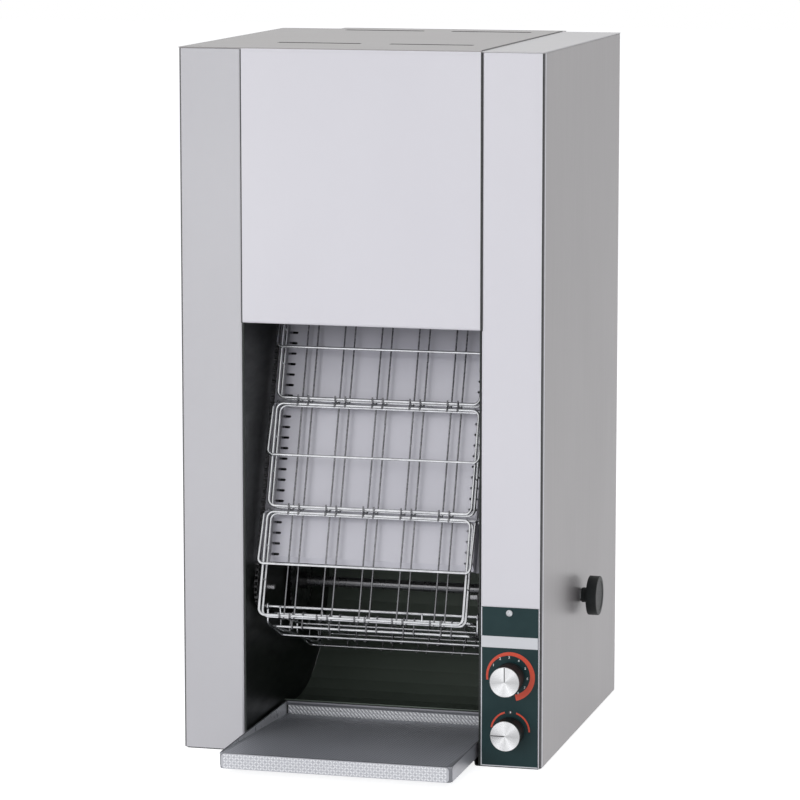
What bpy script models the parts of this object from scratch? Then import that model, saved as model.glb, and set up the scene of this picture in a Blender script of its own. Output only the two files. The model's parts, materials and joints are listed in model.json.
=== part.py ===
"""Free-standing conveyor toaster with wire bread baskets, as separate working pieces.

Every place is given in the cabinet's own frame: X from the left face to the right, Y from the
front plane to the back, Z up from the underside. One empty carries the whole cabinet, so that the
part's origin lies under the middle of its box. All lengths are metres.
"""
import bpy
import bmesh
from math import asin, atan2, cos, hypot, pi, radians, sin, sqrt
from mathutils import Matrix, Vector

# Sheet metal and fits
SHEET = 0.0012
WALL_SHEET = 0.0015
SEAM = 0.0005
SEAT_GAP = 0.0003
FOLD_RADIUS = 0.0024
OVERRUN = 0.004

# Cabinet
CABINET_WIDTH = 0.4125
CABINET_DEPTH = 0.406
CABINET_HEIGHT = 0.790
LEFT_COLUMN_WIDTH = 0.071
RIGHT_COLUMN_WIDTH = 0.0695
HOOD_HEIGHT = 0.3039
HOOD_HEM = 0.016
COLUMN_RETURN = 0.010
CORNER_FLANGE = 0.0075
PAN_FLANGE = 0.015
PANEL_LIFT = SHEET + SEAT_GAP
REAR_COVER_DEPTH = 0.022
REAR_COVER_BASE = 0.030

# The chamber between the two columns
CHAMBER_LEFT = LEFT_COLUMN_WIDTH + SEAT_GAP
CHAMBER_RIGHT = CABINET_WIDTH - RIGHT_COLUMN_WIDTH - SEAT_GAP
CHAMBER_MIDDLE = (CHAMBER_LEFT + CHAMBER_RIGHT) / 2
INSIDE_LEFT = CHAMBER_LEFT + WALL_SHEET
INSIDE_RIGHT = CHAMBER_RIGHT - WALL_SHEET
INSIDE_HALF_WIDTH = (INSIDE_RIGHT - INSIDE_LEFT) / 2
SEATED_LEFT = INSIDE_LEFT + SEAT_GAP
SEATED_RIGHT = INSIDE_RIGHT - SEAT_GAP
PANEL_TOP = CABINET_HEIGHT - SHEET - SEAT_GAP
HOOD_EDGE_HEIGHT = CABINET_HEIGHT - HOOD_HEIGHT
CABINET_BACK = CABINET_DEPTH + REAR_COVER_DEPTH

# Vents in the top cover and in the rear cover
VENT_WIDTH = 0.005
VENT_INSET = 0.017
VENT_MARGIN = 0.0232
VENT_LENGTH = (CHAMBER_RIGHT - CHAMBER_LEFT) / 2 - VENT_INSET - VENT_MARGIN
VENT_BACK = 0.029
VENT_FRONT = 0.106
VENT_ROW_STEP = CABINET_DEPTH - VENT_BACK - VENT_FRONT
VENT_TO_LEFT = 0.008
VENT_STAGGER = 0.0035
LOUVRE_WIDTH = 0.090
LOUVRE_HEIGHT = 0.006
LOUVRE_STEP = 0.024
LOUVRE_TOP_INSET = 0.050
LOUVRE_ROWS = 7
LOUVRE_OFFSET_SHARE = 0.62

# Chain loop: three wheels in the cabinet's side view, and the chain on them
CHAIN_PITCH = 0.00635
FRONT_TEETH = 21
TOP_TEETH = 38
DRIVE_TEETH = 45
FRONT_AXIS_Y = 0.0472
FRONT_AXIS_Z = 0.1805
TOP_AXIS_Y = 0.2199
TOP_AXIS_DROP = 0.150
TOP_AXIS_Z = CABINET_HEIGHT - TOP_AXIS_DROP
DRIVE_AXIS_Y = 0.2051
DRIVE_AXIS_Z = 0.157
CHAIN_TO_WALL = 0.0047
CHAIN_TO_MIDDLE = INSIDE_HALF_WIDTH - CHAIN_TO_WALL
CHAIN_WIDTH = 0.004
CHAIN_HEIGHT = 0.005
TURN_STEP_ANGLE = radians(12)
SPROCKET_THICKNESS = 0.0022
SPROCKET_CLEARANCE = 0.0006
TOOTH_DEPTH = 0.0020
HUB_RADIUS = 0.0100
HUB_LENGTH = 0.0090
IDLER_PIN_RADIUS = 0.0030
IDLER_PIN_REACH = 0.0205
IDLER_PIN_HEAD = 0.0065
IDLER_HUB_RADIUS = 0.0060
IDLER_HUB_LENGTH = 0.0060
DRIVE_SHAFT_RADIUS = 0.0060
TOP_SHAFT_RADIUS = 0.0050
BEARING_WALL = 0.0030
BEARING_FLANGE = 0.0060
BEARING_FLANGE_THICKNESS = 0.0012
BEARING_DEPTH = 0.0080
SHAFT_END = 0.0120

# Bread baskets
LEAST_BASKET_PITCH = 0.1232
FIRST_BASKET_STATION = 0.0828
FRAME_TO_CHAIN = 0.0123
BASKET_HALF_WIDTH = CHAIN_TO_MIDDLE - FRAME_TO_CHAIN
BASKET_HEIGHT = 0.1166
FRAME_DROP = 0.003
FRONT_FRAME_REACH = 0.022
FRAME_SPACING = 0.0145
FRAME_WIRE_RADIUS = 0.0019
GRID_WIRE_RADIUS = 0.0013
TIE_WIRE_RADIUS = 0.0010
BAIL_WIRE_RADIUS = 0.0018
ROD_RADIUS = 0.0017
FRAME_CORNER_RADIUS = 0.006
WIRE_PAIRS = 5
PAIR_TO_SIDE = 0.0306
PAIR_STEP = 2 * (BASKET_HALF_WIDTH - PAIR_TO_SIDE) / (WIRE_PAIRS - 1)
PAIR_GAP = 0.0119
BAIL_TO_CHAIN = 0.0075
BAIL_HALF_WIDTH = CHAIN_TO_MIDDLE - BAIL_TO_CHAIN
BAIL_REACH = 0.0267
BAIL_DROP = 0.0624
BAIL_SHOULDER_REACH = 0.019
BAIL_SHOULDER_DROP = 0.004

# Load shield behind the front baskets
SHIELD_SHEET = 0.001
SHIELD_TO_CHAIN = 0.0125
SHIELD_HALF_WIDTH = CHAIN_TO_MIDDLE - SHIELD_TO_CHAIN
SHIELD_INWARD = 0.0045
SHIELD_FLANGE_DEPTH = 0.014
SHIELD_START = 0.0268
SHIELD_TO_ELEMENT = 0.022
SHIELD_NOTCH_STEP = 0.023
SHIELD_NOTCH_HEIGHT = 0.0042
SHIELD_NOTCH_WIDTH = 0.0060

# Heating elements and reflectors
ELEMENT_RADIUS = 0.004
ELEMENT_BEND_RADIUS = 0.008
ELEMENT_MARGIN = 0.014
TERMINAL_LENGTH = 0.014
TERMINAL_CLEARANCE = 0.0008
INNER_FRONT_PASSES = 6
INNER_FRONT_TO_TURN = 0.058
INNER_FRONT_STEP = 0.020
INNER_FRONT_INWARD = 0.016
INNER_REAR_PASSES = 8
INNER_REAR_BASE = 0.240
INNER_REAR_DROP = 0.075
OUTER_FRONT_PASSES = 4
OUTER_FRONT_TO_TURN = 0.112
OUTER_FRONT_STEP = 0.018
OUTER_FRONT_REACH = 0.047
OUTER_REAR_PASSES = 6
OUTER_REAR_BASE = 0.292
OUTER_REAR_DROP = 0.113
ELEMENT_CLEARANCE = 0.0170
REFLECTOR_SHEET = 0.0008
REFLECTOR_ARCH_RADIUS = 0.140
REFLECTOR_FOOT_SETBACK = 0.052
REFLECTOR_FOOT_RISE = 0.006
REFLECTOR_SHOULDER_RISE = 0.078
REAR_REFLECTOR_KNEE = 0.246
REAR_REFLECTOR_SPREAD = 0.034
REAR_REFLECTOR_SPREAD_RISE = 0.042
CHUTE_RADIUS = 0.142
CHUTE_START_ANGLE = radians(-2)
CHUTE_END_ANGLE = radians(-112)

# Toast tray
TRAY_CLEARANCE = 0.0029
TRAY_WIDTH = 2 * (INSIDE_HALF_WIDTH - TRAY_CLEARANCE)
TRAY_LENGTH = 0.262
TRAY_REACH = 0.113
TRAY_BASE = 0.008
TRAY_HEIGHT = 0.0175
TRAY_SHEET = 0.0012
TRAY_FRONT_RADIUS = 0.006
TRAY_REAR_RADIUS = 0.002
TRAY_FLOOR_LOW = 0.0012
RIB_WIDTH = 0.0136
RIB_INSET = 0.0018

# Control panel
CONTROL_PLATE = 0.0010
CONTROL_MARGIN = 0.0010
CONTROL_SIDE_MARGIN = 0.0038
CONTROL_BASE = 0.0018
CONTROL_TOP = 0.181
DIAL_TO_SIDE = 0.0348
DIAL_X = CABINET_WIDTH - DIAL_TO_SIDE
SPEED_DIAL_Z = 0.1038
HEAT_DIAL_Z = 0.0425
SPEED_KNOB_REACH = 0.0315
HEAT_KNOB_REACH = 0.0280
KNOB_FACE_RADIUS = 0.0167
KNOB_BASE_RADIUS = 0.0162
KNOB_NECK_RADIUS = 0.0157
KNOB_CAP_THICKNESS = 0.0030
KNOB_FLANGE_THICKNESS = 0.0035
KNOB_LIFT = 0.0012
KNOB_POINTER_WIDTH = 0.0014
KNOB_POINTER_LENGTH = 0.0165
KNOB_POINTER_DEPTH = 0.0008
HEAT_KNOB_TURN = radians(-90)
SPINDLE_RADIUS = 0.0030
SPINDLE_CLEARANCE = 0.0020
CONTROL_BODY_RADIUS = 0.0130
CONTROL_BODY_DEPTH = 0.0200
SWITCH_BODY_SIDE = 0.0320
SWITCH_BODY_DEPTH = 0.0300
SCREW_TO_SIDE = 0.0363
SCREW_X = CABINET_WIDTH - SCREW_TO_SIDE
SCREW_Z = 0.1750
SCREW_HEAD_RADIUS = 0.0037
SCREW_HEAD_HEIGHT = 0.0022
SCREW_SHANK_RADIUS = 0.0018
SCREW_LENGTH = 0.0080
SCREW_CLEARANCE = 0.0004
SCREW_EDGE_SHARE = 0.45
SCREW_CROWN_SHARE = 0.55

# Hand knob on the drive shaft
HAND_KNOB_REACH = 0.022
HAND_KNOB_DISC_RADIUS = 0.0225
HAND_KNOB_DISC_THICKNESS = 0.012
HAND_KNOB_NECK_RADIUS = 0.0085
HAND_KNOB_FLARE_RADIUS = 0.0115
HAND_KNOB_GAP = 0.0015
HAND_KNOB_FACE = 0.0040
HAND_KNOB_EDGE = 0.0025
SHAFT_HOLE_CLEARANCE = 0.0015

# Drive train in the right column
GEAR_MODULE = 0.002
GEAR_TEETH = 27
PINION_TEETH = 9
GEAR_WIDTH = 0.006
GEAR_BACKLASH_SHARE = 0.42
TIP_SHARE = 0.9
ROOT_SHARE = 1.25
ROOT_WIDTH_SHARE = 0.75
TIP_WIDTH_SHARE = 0.25
GEARBOX_THICKNESS = 0.022
GEARBOX_WIDTH = 0.044
GEARBOX_DROP = 0.018
GEARBOX_HEIGHT = 0.088
MOTOR_RADIUS = 0.021
MOTOR_LENGTH = 0.030
MOTOR_RISE = 0.042
GEAR_TO_GEARBOX = 0.002

# Electrical entry
TERMINAL_BLOCK_DEPTH = 0.020
TERMINAL_BLOCK_LENGTH = 0.056
TERMINAL_BLOCK_HEIGHT = 0.024
TERMINAL_BLOCK_INSET = 0.106
TERMINAL_BLOCK_Z = 0.060
TERMINAL_BLOCK_STEP = 0.007
GLAND_TO_SIDE = 0.0345
GLAND_X = CABINET_WIDTH - GLAND_TO_SIDE
GLAND_Z = 0.045
GLAND_BARREL_RADIUS = 0.0080
GLAND_BORE_RADIUS = 0.0040
GLAND_FLANGE_RADIUS = 0.0120
GLAND_REACH = 0.016
GLAND_FLANGE_THICKNESS = 0.004

# Facets and small bends of round pieces
SHARP_ANGLE = radians(35)
SMALL_BEND = radians(0.5)
WIRE_TWIST_SHARE = 0.5
ARCH_STEPS = 12
ARCH_JOINT_ANGLE = radians(0.5)
KNOB_SIDES = 28
ROUND_SIDES = 16
SMALL_ROUND_SIDES = 12
TERMINAL_SIDES = 8
WIRE_SIDES = 6
GRID_SIDES = 4
FOLD_STEPS = 2
CORNER_STEPS = 2
BASKET_CORNER_STEPS = 1

# The part's origin lies under the middle of its whole box
ORIGIN_X = (CABINET_WIDTH + HAND_KNOB_REACH) / 2
ORIGIN_Y = (CABINET_BACK - TRAY_REACH) / 2

FINISHES = {
    "panel_steel": ((0.66, 0.66, 0.69), 0.34, 1.0),
    "inner_steel": ((0.11, 0.12, 0.12), 0.42, 1.0),
    "shield_steel": ((0.60, 0.59, 0.66), 0.30, 1.0),
    "tray_steel": ((0.62, 0.63, 0.68), 0.30, 1.0),
    "bright_wire": ((0.78, 0.79, 0.81), 0.22, 1.0),
    "chain_steel": ((0.10, 0.10, 0.11), 0.45, 1.0),
    "shaft_steel": ((0.55, 0.55, 0.57), 0.30, 1.0),
    "bronze": ((0.50, 0.34, 0.16), 0.40, 1.0),
    "element_sheath": ((0.20, 0.16, 0.14), 0.55, 0.8),
    "control_teal": ((0.030, 0.070, 0.078), 0.35, 0.0),
    "knob_black": ((0.020, 0.024, 0.024), 0.32, 0.0),
    "knob_aluminium": ((0.80, 0.80, 0.82), 0.25, 1.0),
    "moulded_black": ((0.03, 0.03, 0.03), 0.50, 0.0),
    "motor_grey": ((0.25, 0.26, 0.28), 0.50, 0.6),
}


def clear_scene():
    for thing in list(bpy.data.objects):
        bpy.data.objects.remove(thing, do_unlink=True)


def finish_material(name):
    """One Principled material for each finish."""
    if name in bpy.data.materials:
        return bpy.data.materials[name]
    colour, roughness, metallic = FINISHES[name]
    made = bpy.data.materials.new(name)
    made.use_nodes = True
    shader = made.node_tree.nodes["Principled BSDF"]
    shader.inputs["Base Color"].default_value = (*colour, 1.0)
    shader.inputs["Roughness"].default_value = roughness
    shader.inputs["Metallic"].default_value = metallic
    made.diffuse_color = (*colour, 1.0)
    return made


def add_empty(name, place, parent=None):
    empty = bpy.data.objects.new(name, None)
    bpy.context.scene.collection.objects.link(empty)
    empty.location = place
    empty.parent = parent
    return empty


def add_piece(name, mesh, finish, carrier, pivot=None, smooth=False):
    """Link one sub-part. A moving piece hangs on the empty that stands on its axis."""
    if pivot is not None:
        mesh.transform(Matrix.Translation(-pivot.location))
        carrier = pivot
    if smooth:
        mesh.shade_smooth()
        mesh.set_sharp_from_angle(angle=SHARP_ANGLE)
    mesh.materials.clear()
    mesh.materials.append(finish_material(finish))
    piece = bpy.data.objects.new(name, mesh)
    bpy.context.scene.collection.objects.link(piece)
    piece.parent = carrier
    return piece


def mesh_from(points, faces):
    """A mesh with its faces turned outwards."""
    mesh = bpy.data.meshes.new("shape")
    mesh.from_pydata(points, [], faces)
    shape = bmesh.new()
    shape.from_mesh(mesh)
    bmesh.ops.recalc_face_normals(shape, faces=shape.faces)
    shape.to_mesh(mesh)
    shape.free()
    return mesh


def on_axis(axis, first, second, along):
    """Outline coordinates to a point: x takes (y, z), y takes (x, z) and z takes (x, y)."""
    if axis == "x":
        return (along, first, second)
    if axis == "y":
        return (first, along, second)
    return (first, second, along)


def prism(outline, axis, low, high):
    """A closed outline extruded along one axis."""
    count = len(outline)
    points = [on_axis(axis, u, v, low) for u, v in outline]
    points += [on_axis(axis, u, v, high) for u, v in outline]
    faces = [tuple(range(count)), tuple(range(count, 2 * count))]
    for index in range(count):
        after = (index + 1) % count
        faces.append((index, after, count + after, count + index))
    return mesh_from(points, faces)


def ring_prism(outer, inner, axis, low, high):
    """The space between two outlines of as many points, extruded along one axis."""
    count = len(outer)
    points = []
    for outline in (outer, inner):
        for along in (low, high):
            points += [on_axis(axis, u, v, along) for u, v in outline]
    faces = []
    for index in range(count):
        after = (index + 1) % count
        for near, far in ((0, 1), (3, 2), (2, 0), (1, 3)):
            faces.append((near * count + index, near * count + after,
                          far * count + after, far * count + index))
    return mesh_from(points, faces)


def block(low, high):
    return prism([(low[0], low[1]), (high[0], low[1]), (high[0], high[1]), (low[0], high[1])],
                 "z", low[2], high[2])


def circle(first, second, radius, sides):
    return [(first + radius * cos(2 * pi * side / sides), second + radius * sin(2 * pi * side / sides))
            for side in range(sides)]


def rounded(points, radius, steps, closed=False):
    """A 2-D or 3-D path with its corners turned into arcs."""
    path = [Vector(point) for point in points]
    last = len(path) - 1
    smooth = []
    for index, corner in enumerate(path):
        if not closed and index in (0, last):
            smooth.append(corner)
            continue
        before = (path[index - 1] - corner).normalized()
        after = (path[(index + 1) % len(path)] - corner).normalized()
        half = before.angle(after) / 2
        if half > pi / 2 - SMALL_BEND:
            smooth.append(corner)
            continue
        centre = corner + (before + after).normalized() * radius / sin(half)
        start = corner + before * radius / (sin(half) / cos(half))
        end = corner + after * radius / (sin(half) / cos(half))
        for step in range(steps + 1):
            share = step / steps
            spoke = (start - centre).normalized().slerp((end - centre).normalized(), share) \
                if len(corner) == 3 else turn_2d(start - centre, end - centre, share)
            smooth.append(centre + spoke.normalized() * radius)
    return smooth


def turn_2d(start, end, share):
    """The direction a share of the way from one 2-D spoke to the next."""
    first = atan2(start.y, start.x)
    swing = (atan2(end.y, end.x) - first + pi) % (2 * pi) - pi
    return Vector((cos(first + swing * share), sin(first + swing * share)))


def strip(path, wall):
    """The outline of a folded sheet whose outer side follows a path, with the sheet on its left."""
    line = [Vector(point) for point in path]
    inner = []
    for index, point in enumerate(line):
        before = (point - line[index - 1]).normalized() if index else None
        after = (line[index + 1] - point).normalized() if index + 1 < len(line) else None
        first, second = before or after, after or before
        normal = Vector((-first.y - second.y, first.x + second.x)).normalized()
        reach = wall / normal.dot(Vector((-first.y, first.x)))
        inner.append(point + normal * reach)
    return [tuple(point) for point in line] + [tuple(point) for point in reversed(inner)]


def folded_sheet(path, wall, axis, low, high, radius=FOLD_RADIUS):
    return prism(strip(rounded(path, radius, FOLD_STEPS), wall), axis, low, high)


def lathe(profile, centre, axis, sides, closed=False):
    """A profile of (radius, distance along the axis) turned about that axis through a centre."""
    points = []
    rings = []
    for radius, along in profile:
        if radius == 0:
            rings.append([len(points)])
            points.append(on_axis(axis, centre[0], centre[1], along))
            continue
        rings.append(list(range(len(points), len(points) + sides)))
        points += [on_axis(axis, u, v, along) for u, v in circle(centre[0], centre[1], radius, sides)]
    pairs = list(zip(rings, rings[1:] + rings[:1])) if closed else list(zip(rings, rings[1:]))
    faces = []
    for ring, following in pairs:
        for side in range(sides):
            after = (side + 1) % sides
            corners = [ring[side % len(ring)], ring[after % len(ring)],
                       following[after % len(following)], following[side % len(following)]]
            faces.append(tuple(dict.fromkeys(corners)))
    return mesh_from(points, faces)


def wire(path, radius, sides, closed=False):
    """A wire of flat sides along a path, mitred at each bend."""
    line = [Vector(point) for point in path]
    count = len(line)
    runs = [(line[(index + 1) % count] - line[index]).normalized() for index in range(count)]
    if not closed:
        runs[-1] = runs[-2]
    first = runs[0]
    aside = Vector((1, 0, 0)) if abs(first.y) > abs(first.x) else Vector((0, 1, 0))
    across = first.cross(aside).normalized()
    upright = first.cross(across)
    ring = []
    for side in range(sides):
        angle = 2 * pi * (side + WIRE_TWIST_SHARE) / sides
        ring.append(line[0] + radius * (cos(angle) * across + sin(angle) * upright))
    points = []
    for index, point in enumerate(line):
        before = runs[index - 1] if closed or index else runs[index]
        after = runs[index]
        plane = (before + after).normalized()
        along = after if index == 0 else before
        ring = [corner + along * ((point - corner).dot(plane) / along.dot(plane)) for corner in ring]
        points += ring
    faces = []
    for index in range(count if closed else count - 1):
        following = (index + 1) % count
        for side in range(sides):
            after = (side + 1) % sides
            faces.append((index * sides + side, index * sides + after,
                          following * sides + after, following * sides + side))
    if not closed:
        faces.append(tuple(range(sides)))
        faces.append(tuple(range((count - 1) * sides, count * sides)))
    return mesh_from([tuple(point) for point in points], faces)


def combine(operation, base, others):
    """One mesh joined with, or cut by, several others with the exact Boolean."""
    scene = bpy.context.scene
    group = bpy.data.collections.new("operands")
    scene.collection.children.link(group)
    target = bpy.data.objects.new("target", base)
    scene.collection.objects.link(target)
    operands = [bpy.data.objects.new("operand", mesh) for mesh in others]
    for operand in operands:
        group.objects.link(operand)
    boolean = target.modifiers.new("combine", "BOOLEAN")
    boolean.operation = operation
    boolean.operand_type = "COLLECTION"
    boolean.collection = group
    boolean.solver = "EXACT"
    depsgraph = bpy.context.evaluated_depsgraph_get()
    result = bpy.data.meshes.new_from_object(target.evaluated_get(depsgraph))
    for thing in operands + [target]:
        bpy.data.objects.remove(thing, do_unlink=True)
    bpy.data.collections.remove(group)
    return result


def join(base, *others):
    return combine("UNION", base, others)


def cut(base, *others):
    return combine("DIFFERENCE", base, others)


def bore(axis, first, second, radius, low, high, sides=SMALL_ROUND_SIDES):
    """A round cutter."""
    return prism(circle(first, second, radius, sides), axis, low, high)


# Chain loop

def sprocket_radius(teeth):
    return CHAIN_PITCH / (2 * sin(pi / teeth))


FRONT_WHEEL = (FRONT_AXIS_Y, FRONT_AXIS_Z, sprocket_radius(FRONT_TEETH))
TOP_WHEEL = (TOP_AXIS_Y, TOP_AXIS_Z, sprocket_radius(TOP_TEETH))
DRIVE_WHEEL = (DRIVE_AXIS_Y, DRIVE_AXIS_Z, sprocket_radius(DRIVE_TEETH))
WHEELS = [FRONT_WHEEL, TOP_WHEEL, DRIVE_WHEEL]


def loop_pieces(wheels):
    """Straight runs and turns of the chain, clockwise seen from the right-hand side."""
    headings = []
    lengths = []
    for wheel, following in zip(wheels, wheels[1:] + wheels[:1]):
        across, rise, grow = (following[index] - wheel[index] for index in range(3))
        span = hypot(across, rise)
        headings.append(atan2(rise, across) + asin(grow / span))
        lengths.append(sqrt(span ** 2 - grow ** 2))
    pieces = []
    for index, (heading, length) in enumerate(zip(headings, lengths)):
        following = (index + 1) % len(wheels)
        swing = (heading - headings[following]) % (2 * pi)
        pieces.append(("run", wheels[index], heading, length))
        pieces.append(("turn", wheels[following], heading, swing * wheels[following][2]))
    return pieces


LOOP = loop_pieces(WHEELS)
FRONT_RUN = LOOP[0][3]
LOOP_LENGTH = sum(piece[3] for piece in LOOP)
BASKET_COUNT = int(LOOP_LENGTH / LEAST_BASKET_PITCH)
BASKET_PITCH = LOOP_LENGTH / BASKET_COUNT


def loop_place(distance, outward=0.0):
    """Y, Z and heading at a distance along the chain from the foot of the front run."""
    distance %= LOOP_LENGTH
    for kind, wheel, heading, length in LOOP:
        if distance <= length:
            break
        distance -= length
    along = distance
    if kind == "turn":
        heading -= distance / wheel[2]
        along = 0
    reach = wheel[2] + outward
    return (wheel[0] - reach * sin(heading) + along * cos(heading),
            wheel[1] + reach * cos(heading) + along * sin(heading), heading)


def loop_kind(distance):
    """Whether a place on the chain lies on a straight run or on a turn."""
    distance %= LOOP_LENGTH
    for kind, _, _, length in LOOP:
        if distance <= length:
            break
        distance -= length
    return kind


def loop_outline(outward):
    """The chain's path, moved outwards, as a closed outline in the side view."""
    outline = []
    for kind, wheel, heading, length in LOOP:
        if kind == "run":
            continue
        swing = length / wheel[2]
        steps = max(1, round(swing / TURN_STEP_ANGLE))
        for step in range(steps + 1):
            angle = heading - swing * step / steps
            reach = wheel[2] + outward
            outline.append((wheel[0] - reach * sin(angle), wheel[1] + reach * cos(angle)))
    return outline


def front_run_matrix():
    """Places a shape drawn as (x, inward, along) on the chain's front run."""
    y, z, heading = loop_place(0)
    return Matrix.Translation((0, y, z)) @ Matrix.Rotation(heading - pi / 2, 4, "X")


# Cabinet

def make_base_pan(carrier):
    """Floor of the cabinet, with two ribs pressed up for the tray to slide on."""
    side = SHEET + SEAM
    rib_height = TRAY_BASE - SEAT_GAP - SHEET
    half = TRAY_WIDTH / 2 - RIB_INSET
    path = [(side, PAN_FLANGE), (side, 0)]
    for left in (CHAMBER_MIDDLE - half, CHAMBER_MIDDLE + half - RIB_WIDTH):
        right = left + RIB_WIDTH
        path += [(left, 0), (left, rib_height), (right, rib_height), (right, 0)]
    path += [(CABINET_WIDTH - side, 0), (CABINET_WIDTH - side, PAN_FLANGE)]
    pan = folded_sheet(path, SHEET, "y", side, CABINET_DEPTH - side)
    add_piece("base_pan", pan, "panel_steel", carrier)


def make_left_panel(carrier):
    """Left column: front, side and back in one folded sheet."""
    edge = LEFT_COLUMN_WIDTH
    back = CABINET_DEPTH
    path = [(edge, COLUMN_RETURN), (edge, 0), (0, 0), (0, back), (edge, back),
            (edge, back - COLUMN_RETURN)]
    shell = folded_sheet(path[::-1], SHEET, "z", PANEL_LIFT, PANEL_TOP)
    add_piece("left_panel", shell, "panel_steel", carrier)


def vent_slots():
    """Two staggered rows of round-ended slots in the top cover."""
    slots = []
    middle = CHAMBER_MIDDLE - VENT_TO_LEFT
    for row in range(2):
        y = CABINET_DEPTH - VENT_BACK - row * VENT_ROW_STEP
        for side in (-1, 1):
            x = middle + side * (VENT_LENGTH / 2 + VENT_INSET) - row * VENT_STAGGER
            ends = [(x - VENT_LENGTH / 2, y - VENT_WIDTH / 2), (x + VENT_LENGTH / 2, y - VENT_WIDTH / 2),
                    (x + VENT_LENGTH / 2, y + VENT_WIDTH / 2), (x - VENT_LENGTH / 2, y + VENT_WIDTH / 2)]
            outline = rounded(ends, VENT_WIDTH / 2 - SEAT_GAP, CORNER_STEPS, closed=True)
            slots.append(prism(outline, "z", CABINET_HEIGHT - OVERRUN, CABINET_HEIGHT + OVERRUN))
    return slots


def make_top_cover(carrier):
    edge = CHAMBER_RIGHT
    outline = [(0, 0), (edge, 0), (edge, CABINET_BACK), (CHAMBER_LEFT, CABINET_BACK),
               (CHAMBER_LEFT, CABINET_DEPTH), (0, CABINET_DEPTH)]
    cover = prism(outline, "z", CABINET_HEIGHT - SHEET, CABINET_HEIGHT)
    add_piece("top_cover", cut(cover, *vent_slots()), "panel_steel", carrier)


def make_hood_front(carrier):
    """Upper front panel with a hem turned in at its top and lower edges."""
    edge = HOOD_EDGE_HEIGHT
    path = [(HOOD_HEM, PANEL_TOP), (0, PANEL_TOP), (0, edge), (HOOD_HEM, edge)]
    hood = folded_sheet(path, SHEET, "x", CHAMBER_LEFT, CHAMBER_RIGHT)
    add_piece("hood_front", hood, "panel_steel", carrier)


def column_left_edge():
    return CABINET_WIDTH - RIGHT_COLUMN_WIDTH + SEAT_GAP


def front_panel_holes():
    """Holes behind the two knobs and the overlay's screw."""
    spindle = SPINDLE_RADIUS + SPINDLE_CLEARANCE
    low, high = -OVERRUN, SHEET + OVERRUN
    return [bore("y", DIAL_X, SPEED_DIAL_Z, spindle, low, high),
            bore("y", DIAL_X, HEAT_DIAL_Z, spindle, low, high),
            bore("y", SCREW_X, SCREW_Z, SCREW_SHANK_RADIUS + SCREW_CLEARANCE, low, high)]


def make_right_front_panel(carrier):
    left = column_left_edge()
    path = [(left, COLUMN_RETURN), (left, 0), (CABINET_WIDTH, 0), (CABINET_WIDTH, CORNER_FLANGE)]
    shell = folded_sheet(path, SHEET, "z", PANEL_LIFT, PANEL_TOP)
    add_piece("right_front_panel", cut(shell, *front_panel_holes()), "panel_steel", carrier)


def make_right_side_panel(carrier):
    """Right side and back of the right column, with holes for the drive shaft and the gland."""
    left = column_left_edge()
    back = CABINET_DEPTH
    path = [(CABINET_WIDTH, CORNER_FLANGE + SEAM), (CABINET_WIDTH, back), (left, back),
            (left, back - COLUMN_RETURN)]
    shell = folded_sheet(path, SHEET, "z", PANEL_LIFT, PANEL_TOP)
    shaft_hole = bore("x", DRIVE_AXIS_Y, DRIVE_AXIS_Z, DRIVE_SHAFT_RADIUS + SHAFT_HOLE_CLEARANCE,
                      CABINET_WIDTH - OVERRUN, CABINET_WIDTH + OVERRUN)
    gland_hole = bore("y", GLAND_X, GLAND_Z, GLAND_BARREL_RADIUS + SEAT_GAP, back - OVERRUN,
                      back + OVERRUN)
    add_piece("right_side_panel", cut(shell, shaft_hole, gland_hole), "panel_steel", carrier)


def make_right_top_cover(carrier):
    cover = block((column_left_edge(), 0, CABINET_HEIGHT - SHEET),
                  (CABINET_WIDTH, CABINET_DEPTH, CABINET_HEIGHT))
    add_piece("right_top_cover", cover, "panel_steel", carrier)


def make_rear_cover(carrier):
    """Shallow pan over the chamber's back, with two columns of louvre slots."""
    front = CABINET_DEPTH + SEAT_GAP
    path = [(CHAMBER_RIGHT, front), (CHAMBER_RIGHT, CABINET_BACK), (CHAMBER_LEFT, CABINET_BACK),
            (CHAMBER_LEFT, front)]
    pan = folded_sheet(path, SHEET, "z", REAR_COVER_BASE, PANEL_TOP)
    slots = []
    for row in range(LOUVRE_ROWS):
        z = PANEL_TOP - LOUVRE_TOP_INSET - row * LOUVRE_STEP
        for side in (-1, 1):
            x = CHAMBER_MIDDLE + side * LOUVRE_WIDTH * LOUVRE_OFFSET_SHARE
            slots.append(block((x - LOUVRE_WIDTH / 2, CABINET_BACK - OVERRUN, z - LOUVRE_HEIGHT / 2),
                               (x + LOUVRE_WIDTH / 2, CABINET_BACK + OVERRUN, z + LOUVRE_HEIGHT / 2)))
    add_piece("rear_cover", cut(pan, *slots), "panel_steel", carrier)


def terminal_holes():
    """Where the four elements' ends pass through the right wall."""
    holes = []
    radius = ELEMENT_RADIUS + TERMINAL_CLEARANCE
    for passes in element_passes().values():
        for y, z in (passes[0], passes[-1]):
            holes.append(bore("x", y, z, radius, INSIDE_RIGHT - OVERRUN, CHAMBER_RIGHT + OVERRUN,
                              TERMINAL_SIDES))
    return holes


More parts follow.
